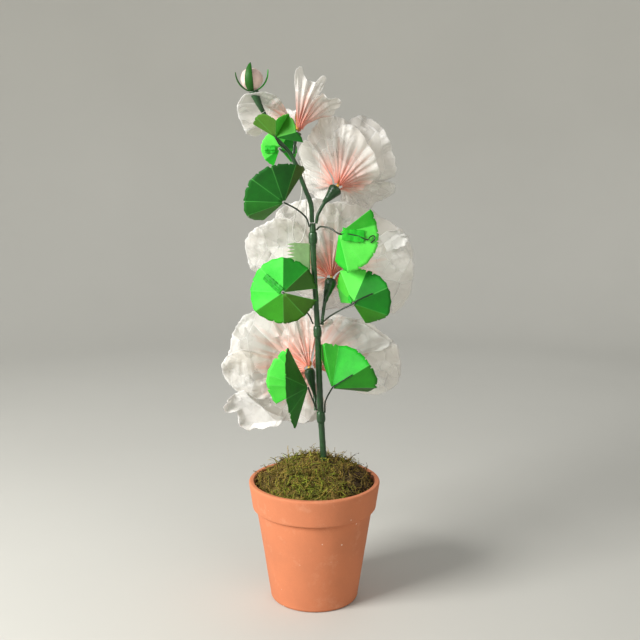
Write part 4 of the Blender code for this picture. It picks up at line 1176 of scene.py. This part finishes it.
def petal(flower, number, settings, seed):
    """One petal's grid and the marks its finish reads.

    It is a part of the flower's bowl inside a rim given by its spokes, all of which leave
    the base within a narrow angle. It is moved along the bowl's normal by pleats that fade
    outwards, by soft waves and long creases shared with the other petals so that they
    nest, by fine crumpling in patches, and by a rim that waves and curls. Numbers past the
    petals are the folded-back parts, which start some way out and are whiter.
    """
    whole = number < len(flower["petals"])
    layer, reach, spokes = (flower["petals"] + flower["folds"])[number]
    rows, columns = (76, 96) if whole else (30, 60)
    rim_turn, rim = petal_rim(spokes, columns)
    u = np.linspace(0, 1, rows)[:, None] ** (1.15 if whole else 1.0)
    v = np.linspace(-1, 1, columns)[None, :]
    edge = np.stack([v * 3.0, 0 * v + number + seed], -1)
    ragged = 0.012 * soft_noise(edge, 0.30, seed + 1) + 0.010 * soft_noise(edge, 0.11, seed + 2)
    rim = rim * (1 + ragged)
    pleats, start = (reach, 0.0) if whole else (0.022, reach)
    way = start + u * (rim - start)
    base = (rim_turn[0] + rim_turn[-1]) / 2 + math.copysign(
        math.radians(PETAL_BASE_ANGLE), rim_turn[-1] - rim_turn[0]) * v
    turn = base + (rim_turn - base) * (1 - np.exp(-4 * way / rim))
    points, inward = bowl(flower, turn, way)
    spots = np.stack([np.cos(turn) * way, np.sin(turn) * way], -1)
    ring = np.stack([np.cos(turn) * 1.6, np.sin(turn) * 1.6, way / 0.10], -1)
    phase = 25 * turn + 2.6 * soft_noise(ring, 1.0, seed + 40)
    gathers = np.abs((phase / (2 * math.pi)) % 1.0 * 2 - 1) * 2 - 1
    depth = (0.35 + way / 0.014) / (1 + (way / pleats) ** 3)
    pleat = settings.pleat * gathers * np.minimum(depth, 3.2)
    body = eased(0.006, 0.034, way)
    waves = soft_noise(spots, 0.026, seed + 60)
    arc = turn * 0.040
    long_ = crumpled(arc, way * 0.42, 0.020, seed + 50, 4)
    patch = eased(0.0, 0.5, soft_noise(spots, 0.024, seed + 70))
    fine = crumpled(arc, way * 0.7, 0.0065, seed + 51, 5) * patch
    crease = settings.crumple * body * (0.62 * long_ + 0.24 * fine)
    outer = eased(0.66, 1.0, u * np.ones_like(v))
    ruffle = 0.0011 * (np.sin(v * 9.0 + number * 2.1 + seed)
                       + 0.7 * np.sin(v * 19.0 + number * 1.3)) * outer ** 1.5
    curl = settings.curl * (layer - 1.0) * 0.5 * outer ** 2
    offset = (layer * (PETAL_LAYER + 0.026 * way) + pleat + crease + 0.0026 * body * waves
              + ruffle + curl)
    grid = points + inward * offset[..., None]
    bends = np.abs(np.gradient(np.gradient(crease, axis=1), axis=1))
    bends = bends + np.abs(np.gradient(np.gradient(crease, axis=0), axis=0))
    # Painted highlight: a bright band along the rim and sides stands in for a lit folded edge.
    # Sharp bends are whiter, partly wax whitened in the crease and partly painted glints; the
    # folded-back parts get 0.5 more.
    painted_rim_highlight = np.maximum(eased(0.975, 1.0, u + 0 * v), 0.8 * eased(0.972, 1.0, np.abs(v) + 0 * u))
    crease = 0.9 * np.clip(bends / 0.00035 - 0.25, 0, 1) + 0.6 * painted_rim_highlight + (0.0 if whole else 0.5)
    marks = {"blush": 1.05 - way / (flower["blush"] * 1.05), "crease": np.clip(crease, 0, 1)}
    return grid, marks, np.stack([turn + 0 * way, way / 0.05], -1)


class PAPERFLOWER_OT_flowers(bpy.types.Operator):
    """Build the four open flowers: stalk, calyx, centre and five tissue petals each."""
    bl_idname = "paper_flower.add_flowers"
    bl_label = "Flowers"

    def execute(self, context):
        scene = context.scene
        tape = bpy.data.materials.get("waxed_tape") or tape_finish(scene.paper_flower_stem)
        tissue = tissue_finish(scene.paper_flower_petals)
        stamen = plain_paper_finish("stamen_crepe", (0.85, 0.50, 0.10), 0.8, 0.0)
        for order, (name, flower) in enumerate(FLOWERS.items()):
            seed = 100 + 17 * order
            foot, head = np.array(flower["foot"]), np.array(flower["head"])
            taped(f"{name}_stalk", flower["stalk"], 16, 40, tape, f"flower_{name}_stalk",
                  seed=seed)
            profile = [tuple(foot + (head - foot) * share) + (radius * flower["radius"],)
                       for share, radius in CALYX_PROFILE]
            taped(f"{name}_calyx", profile, 28, 60, tape, f"flower_{name}_calyx",
                  seed=seed + 1, rough=1.8)
            self.centre(name, flower, stamen)
            for number in range(PETALS_EACH + len(flower["folds"])):
                grid, marks, uv = petal(flower, number, scene.paper_flower_petals, seed)
                whole = number < PETALS_EACH
                label = f"petal_{number + 1}" if whole else f"petal_fold_{number + 1 - PETALS_EACH}"
                item = new_sheet(f"{name}_{label}", grid,
                                 scene.paper_flower_petals.thickness, tissue, uv, marks)
                if whole:
                    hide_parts(f"flower_{name}_petal_{number + 1}")
        return {"FINISHED"}

    @staticmethod
    def centre(name, flower, finish):
        """The column of stamens: a bar with a bulb at its head, covered in small knobs."""
        out = face_frame(flower["face"])[2]
        start = np.array(flower["head"]) + out * PETAL_LIFT
        profile = [(0.0, 0.0015), (0.45, 0.0016), (0.60, 0.0024), (0.85, 0.0024), (1.0, 0.0010)]
        stations = [tuple(start + out * 0.020 * share) + (radius,) for share, radius in profile]

        def swell(share, metres):
            knobs = np.sin(2 * np.pi * share * 7) * np.sin(metres / 0.0011 * np.pi)
            return 0.0005 * np.maximum(knobs, 0) * (metres > 0.009)
        points, faces, uv = tube_parts(smooth_line(stations, 50), 28, swell)
        item = new_piece(f"{name}_stamens", points + POT_AXIS, faces, finish, uv)
        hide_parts(f"flower_{name}_centre")


class PAPERFLOWER_OT_bud(bpy.types.Operator):
    """Roll the closed bud, and clasp it with its calyx and sepals."""
    bl_idname = "paper_flower.add_bud"
    bl_label = "Bud"

    def execute(self, context):
        scene = context.scene
        tape = bpy.data.materials.get("waxed_tape") or tape_finish(scene.paper_flower_stem)
        finish = plain_paper_finish("bud_tissue_roll", scene.paper_flower_bud.pink, 0.5, 0.25)
        polar = np.linspace(0, math.pi, 48)[1:-1, None]
        turn = np.linspace(0, 2 * math.pi, 120, endpoint=False)[None, :]
        lap = ((turn + 1.1 * polar) / (2 * math.pi) * 3) % 1.0
        spots = np.stack([np.cos(turn) * np.sin(polar), np.sin(turn) * np.sin(polar),
                          np.cos(polar) + 0 * turn], -1)
        radius = BUD_RADIUS * (0.95 + 0.07 * lap * np.sin(polar)
                               + 0.025 * soft_noise(spots, 0.35, 61)
                               + 0.02 * np.abs(soft_noise(spots * (1, 1, 0.3), 0.12, 62)))
        rings = spots * radius[..., None] + BUD_CENTRE
        pole = np.array((0, 0, BUD_RADIUS * 0.93))
        points = np.concatenate([rings.reshape(-1, 3), [BUD_CENTRE + pole], [BUD_CENTRE - pole]])
        faces = [group[:, ::-1] for group in capped_faces(polar.size, turn.size)]
        bud = new_piece("rolled_bud", points + POT_AXIS, faces, finish)
        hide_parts("bud")
        taped("bud_calyx_cup", BUD_CALYX_LINE, 28, 50, tape, "bud_calyx", seed=70)
        card = bpy.data.materials.get("leaf_card") or leaf_finish(scene.paper_flower_leaves)
        for number, sepal in enumerate(SEPALS, 1):
            self.sepal(f"bud_sepal_{number}", *sepal, card)
        return {"FINISHED"}

    @staticmethod
    def sepal(name, swing, end, reach_out, half_width, shade, card):
        """A strip of card from under the bud up its side: it leaves the bud as a power of
        the share along it, and its width is a raised half sine."""
        u = np.linspace(0, 1, 40)[:, None]
        v = np.linspace(-1, 1, 15)[None, :]
        angle = np.radians(SEPAL_START + (end - SEPAL_START) * u)
        reach = BUD_RADIUS + 0.0010 + reach_out * u ** 2.2 - 0.0006 * v ** 2
        half = half_width * np.sin(math.pi * (0.15 + 0.85 * u)) ** 0.7 + 0.0002
        round_ = np.radians(swing) + half * v / np.maximum(reach * np.sin(angle), 0.002)
        grid = np.stack([reach * np.sin(angle) * np.cos(round_),
                         reach * np.sin(angle) * np.sin(round_),
                         -reach * np.cos(angle)], -1) + BUD_CENTRE
        flat = 0.0 * reach
        item = new_sheet(name, grid, 0.0005, card,
                         marks={"fold": flat, "warm": 0.2 + flat, "shade": shade + flat})


def crease_direction(angle, lean):
    """The unit vector of a crease from its angle in XZ and its lean to the front."""
    angle, lean = math.radians(angle), math.radians(lean)
    return np.array([math.cos(angle) * math.cos(lean), -math.sin(lean),
                     math.sin(angle) * math.cos(lean)])


def leaf(facts, seed, rows=12, step=1.2):
    """A folded leaf's grid and marks: flat sectors between creases that meet at the hub,
    each arched a little. The rim is an arc with shallow scallops and sharp nicks."""
    rays, swept, near, arch, shade, warm = [], [], [], [], [], []
    start_at = 0.0
    creases = facts["creases"]
    for here, there, (dark, olive) in zip(creases, creases[1:], facts["tones"]):
        start, stop = crease_direction(*here), crease_direction(*there)
        opening = math.acos(float(np.clip(np.dot(start, stop), -1, 1)))
        steps = max(4, round(math.degrees(opening) / step))
        share = np.arange(steps + 1)[1 if rays else 0:, None] / steps
        rays.append((np.sin((1 - share) * opening) * start + np.sin(share * opening) * stop)
                    / math.sin(opening))
        swept.append(start_at + share[:, 0] * opening)
        near.append(np.minimum(share[:, 0], 1 - share[:, 0]) * opening)
        arch.append(np.sin(math.pi * share) * unit(np.cross(start, stop)) * opening)
        shade.append(np.full(len(share), dark))
        warm.append(np.full(len(share), olive))
        start_at += opening
    rays, arch, swept, near, shade, warm = (np.concatenate(part) for part in (
        rays, arch, swept, near, shade, warm))
    draw = np.random.default_rng(seed)
    scallop = 0.022 * np.abs(np.sin(swept / math.radians(8) * math.pi / 2 + seed))
    wobble = 0.020 * soft_noise(np.stack([swept * 2.2, 0 * swept + seed], -1), 1.0, seed)
    nicks = np.zeros_like(swept)
    for place in draw.uniform(0, swept[-1], 9):
        depth = draw.uniform(0.035, 0.085)
        nicks = np.maximum(nicks, depth * np.clip(1 - np.abs(swept - place) / 0.026, 0, 1))
    rim = facts["radius"] * (1.01 + wobble - scallop - nicks)
    share = (np.linspace(0, 1, rows)[:, None]) ** 0.85
    reach = 0.0018 + share * (rim - 0.0018)[None, :]
    grid = (np.array(facts["hub"]) + reach[..., None] * rays[None]
            + arch[None] * (0.030 * reach * share)[..., None])
    across = near[None, :] * reach
    fold = 0.55 * np.exp(-(across / 0.00034) ** 2) * (0.35 + 0.4 * share)
    flat = np.zeros_like(reach)
    return grid, {"fold": fold, "shade": shade + flat, "warm": warm + flat}


def spot_on_leaf(facts, sector, share, distance, lift):
    """A point above a leaf: the direction at that share between a sector's creases times the
    distance, moved off the sector's plane towards the front."""
    start, stop = (crease_direction(*facts["creases"][sector + k]) for k in (0, 1))
    normal = unit(np.cross(start, stop))
    normal = normal if normal[1] < 0 else -normal
    middle = unit(start * (1 - share) + stop * share)
    across = np.cross(normal, middle)
    return np.array(facts["hub"]) + middle * distance + normal * lift, across


class PAPERFLOWER_OT_leaves(bpy.types.Operator):
    """Fold the eight leaves, lay their wires and glue the strips that hold them."""
    bl_idname = "paper_flower.add_leaves"
    bl_label = "Leaves"

    def execute(self, context):
        scene = context.scene
        wire = tape_finish(scene.paper_flower_stem, "wire_tape", 0.30)
        card = bpy.data.materials.get("leaf_card") or leaf_finish(scene.paper_flower_leaves)
        for order, (name, facts) in enumerate(LEAVES.items()):
            grid, marks = leaf(facts, 200 + order)
            item = new_sheet(f"{name}_leaf", grid, scene.paper_flower_leaves.thickness, card,
                             marks=marks)
            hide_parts(f"leaf_{name}")
            line = [tuple(point) + (0.0008,) for point in facts["wire"] + [facts["hub"]]]
            line[-1] = (line[-1][0], line[-1][1] - 0.0006 * bool(facts["run"]), *line[-1][2:])
            line += [tuple(spot_on_leaf(facts, *spot)[0]) + (0.0006,) for spot in facts["run"]]
            taped(f"{name}_wire", line, 12, 60 + 8 * len(facts["run"]), wire,
                  f"leaf_{name}_wire", seed=220 + order, rough=0.6)
            for number, strip in enumerate(facts["strips"], 1):
                self.strip(f"{name}_strip_{number}", facts, strip, card, 240 + order)
        return {"FINISHED"}

    @staticmethod
    def strip(name, facts, strip, card, seed):
        """A strip of leaf paper glued flat on a sector, its ends ragged, a little raised
        along its middle by the wire under it."""
        sector, share, start, end, half = strip
        u, v = np.linspace(0, 1, 40)[:, None], np.linspace(-1, 1, 17)[None, :]
        spot, across = spot_on_leaf(facts, sector, share, start, 0.0)
        tip = spot_on_leaf(facts, sector, share, end, 0.0)[0]
        normal = unit(np.cross(tip - spot, across))
        normal = normal if normal[1] < 0 else -normal
        edge = np.stack([u * 9.0 + 0 * v, np.sign(v) + 0 * u], -1)
        wide = half * v * (1 + 0.10 * soft_noise(edge, 1.0, seed))
        rise = (0.0009 + 0.0007 * np.exp(-(v / 0.3) ** 2)
                + 0.0003 * soft_noise(np.stack([u * 6 + 0 * v, v * 2 + 0 * u], -1), 1.0, seed + 1))
        grid = (spot + (tip - spot) * u[..., None] + across * wide[..., None]
                + normal * rise[..., None])
        # Painted shade: the strip takes its sector's painted shade, 0.24 darker on the ramp.
        tone = facts["tones"][sector][0] + 0.24
        flat = np.zeros(grid.shape[:2])
        item = new_sheet(name, grid, 0.0004, card, marks={
            "fold": flat, "shade": tone + 0.06 * soft_noise(edge * 2.0, 1.0, seed + 2),
            "warm": flat})


class PAPERFLOWER_OT_stage(bpy.types.Operator):
    """Lay the pale floor with its curved backdrop, and set the soft lights."""
    bl_idname = "paper_flower.add_stage"
    bl_label = "Stage"

    def execute(self, context):
        settings = context.scene.paper_flower_stage
        sweep = np.linspace(0, math.pi / 2, 24)
        profile = np.concatenate([
            [(0.3, 0.0), (0.8, 0.0)],
            np.stack([1.3 + 0.7 * np.sin(sweep), 0.7 - 0.7 * np.cos(sweep)], -1),
            [(2.0, 1.6), (2.0, 2.4)]])
        turn = np.linspace(0, 2 * math.pi, 96, endpoint=False)
        radius, height = profile[:, 0][:, None], profile[:, 1][:, None]
        grid = np.stack([radius * np.cos(turn), radius * np.sin(turn), height + 0 * turn], -1)
        points = np.concatenate([grid.reshape(-1, 3), [(0, 0, 0)]])
        first = np.arange(96)
        middle = np.stack([np.full(96, len(points) - 1), first, np.roll(first, -1)], -1)
        mesh = bpy.data.meshes.new("stage_cove")
        faces = [quads_of(len(profile), 96, True)[:, ::-1].tolist(), middle.tolist()]
        mesh.from_pydata(points.tolist(), [], faces[0] + faces[1])
        mesh.shade_smooth()
        mesh.materials.append(stage_finish(settings.floor))
        cove = bpy.data.objects.new("stage_cove", mesh)
        context.scene.collection.objects.link(cove)
        self.lamp("key_light", (-1.15, -0.75, 0.95), 0.70, settings.key, (1.0, 0.985, 0.96))
        self.lamp("fill_light", (0.9, -1.3, 0.9), 1.2, settings.fill, (1.0, 0.97, 0.93))
        self.lamp("back_light", (0.2, 1.3, 1.3), 1.0, settings.fill * 0.8, (0.97, 0.98, 1.0))
        world = bpy.data.worlds.new("studio")
        world.use_nodes = True
        background = world.node_tree.nodes["Background"]
        background.inputs["Color"].default_value = (0.93, 0.95, 1.0, 1.0)
        background.inputs["Strength"].default_value = settings.sky
        context.scene.world = world
        context.scene.view_settings.view_transform = "Standard"
        return {"FINISHED"}

    @staticmethod
    def lamp(name, where, size, power, colour):
        """A square soft light that faces the middle of the plant."""
        data = bpy.data.lights.new(name, "AREA")
        data.size, data.energy, data.color = size, power, colour
        item = bpy.data.objects.new(name, data)
        item.location = where
        aim = Vector((0.0, 0.0, 0.28)) - Vector(where)
        item.rotation_euler = aim.to_track_quat("-Z", "Y").to_euler()
        item.visible_camera = False
        bpy.context.scene.collection.objects.link(item)


STEPS = (PAPERFLOWER_OT_camera, PAPERFLOWER_OT_tag, PAPERFLOWER_OT_pot, PAPERFLOWER_OT_moss,
         PAPERFLOWER_OT_stem, PAPERFLOWER_OT_flowers, PAPERFLOWER_OT_leaves,
         PAPERFLOWER_OT_bud, PAPERFLOWER_OT_stage)
GROUPS = {
    "paper_flower_pot": PAPERFLOWER_PG_pot, "paper_flower_moss": PAPERFLOWER_PG_moss,
    "paper_flower_stem": PAPERFLOWER_PG_stem, "paper_flower_petals": PAPERFLOWER_PG_petals,
    "paper_flower_bud": PAPERFLOWER_PG_bud, "paper_flower_leaves": PAPERFLOWER_PG_leaves,
    "paper_flower_tag": PAPERFLOWER_PG_tag, "paper_flower_stage": PAPERFLOWER_PG_stage,
}


class PAPERFLOWER_PT_sidebar(bpy.types.Panel):
    """Lists the plant's settings and the buttons that build its pieces."""
    bl_idname = "PAPERFLOWER_PT_sidebar"
    bl_label = "Paper Flower"
    bl_space_type = "VIEW_3D"
    bl_region_type = "UI"
    bl_category = "Paper Flower"

    def draw(self, context):
        for label, group in GROUPS.items():
            box = self.layout.box()
            box.label(text=label.replace("paper_flower_", "").title())
            settings = getattr(context.scene, label)
            for setting in group.__annotations__:
                box.prop(settings, setting)
        for step in STEPS:
            self.layout.operator(step.bl_idname)


def register():
    """Register the settings, the operators and the panel."""
    for label, group in GROUPS.items():
        bpy.utils.register_class(group)
        setattr(bpy.types.Scene, label, PointerProperty(type=group))
    for step in (*STEPS, PAPERFLOWER_PT_sidebar):
        bpy.utils.register_class(step)


def unregister():
    """Take them all out again."""
    for step in (PAPERFLOWER_PT_sidebar, *reversed(STEPS)):
        bpy.utils.unregister_class(step)
    for label, group in reversed(GROUPS.items()):
        delattr(bpy.types.Scene, label)
        bpy.utils.unregister_class(group)


def main():
    """Build the plant piece by piece."""
    register()
    for step in STEPS:
        area, verb = step.bl_idname.split(".")
        if getattr(getattr(bpy.ops, area), verb)() != {"FINISHED"}:
            raise RuntimeError(f"{step.bl_label} was not finished")


if __name__ == "__main__":
    main()
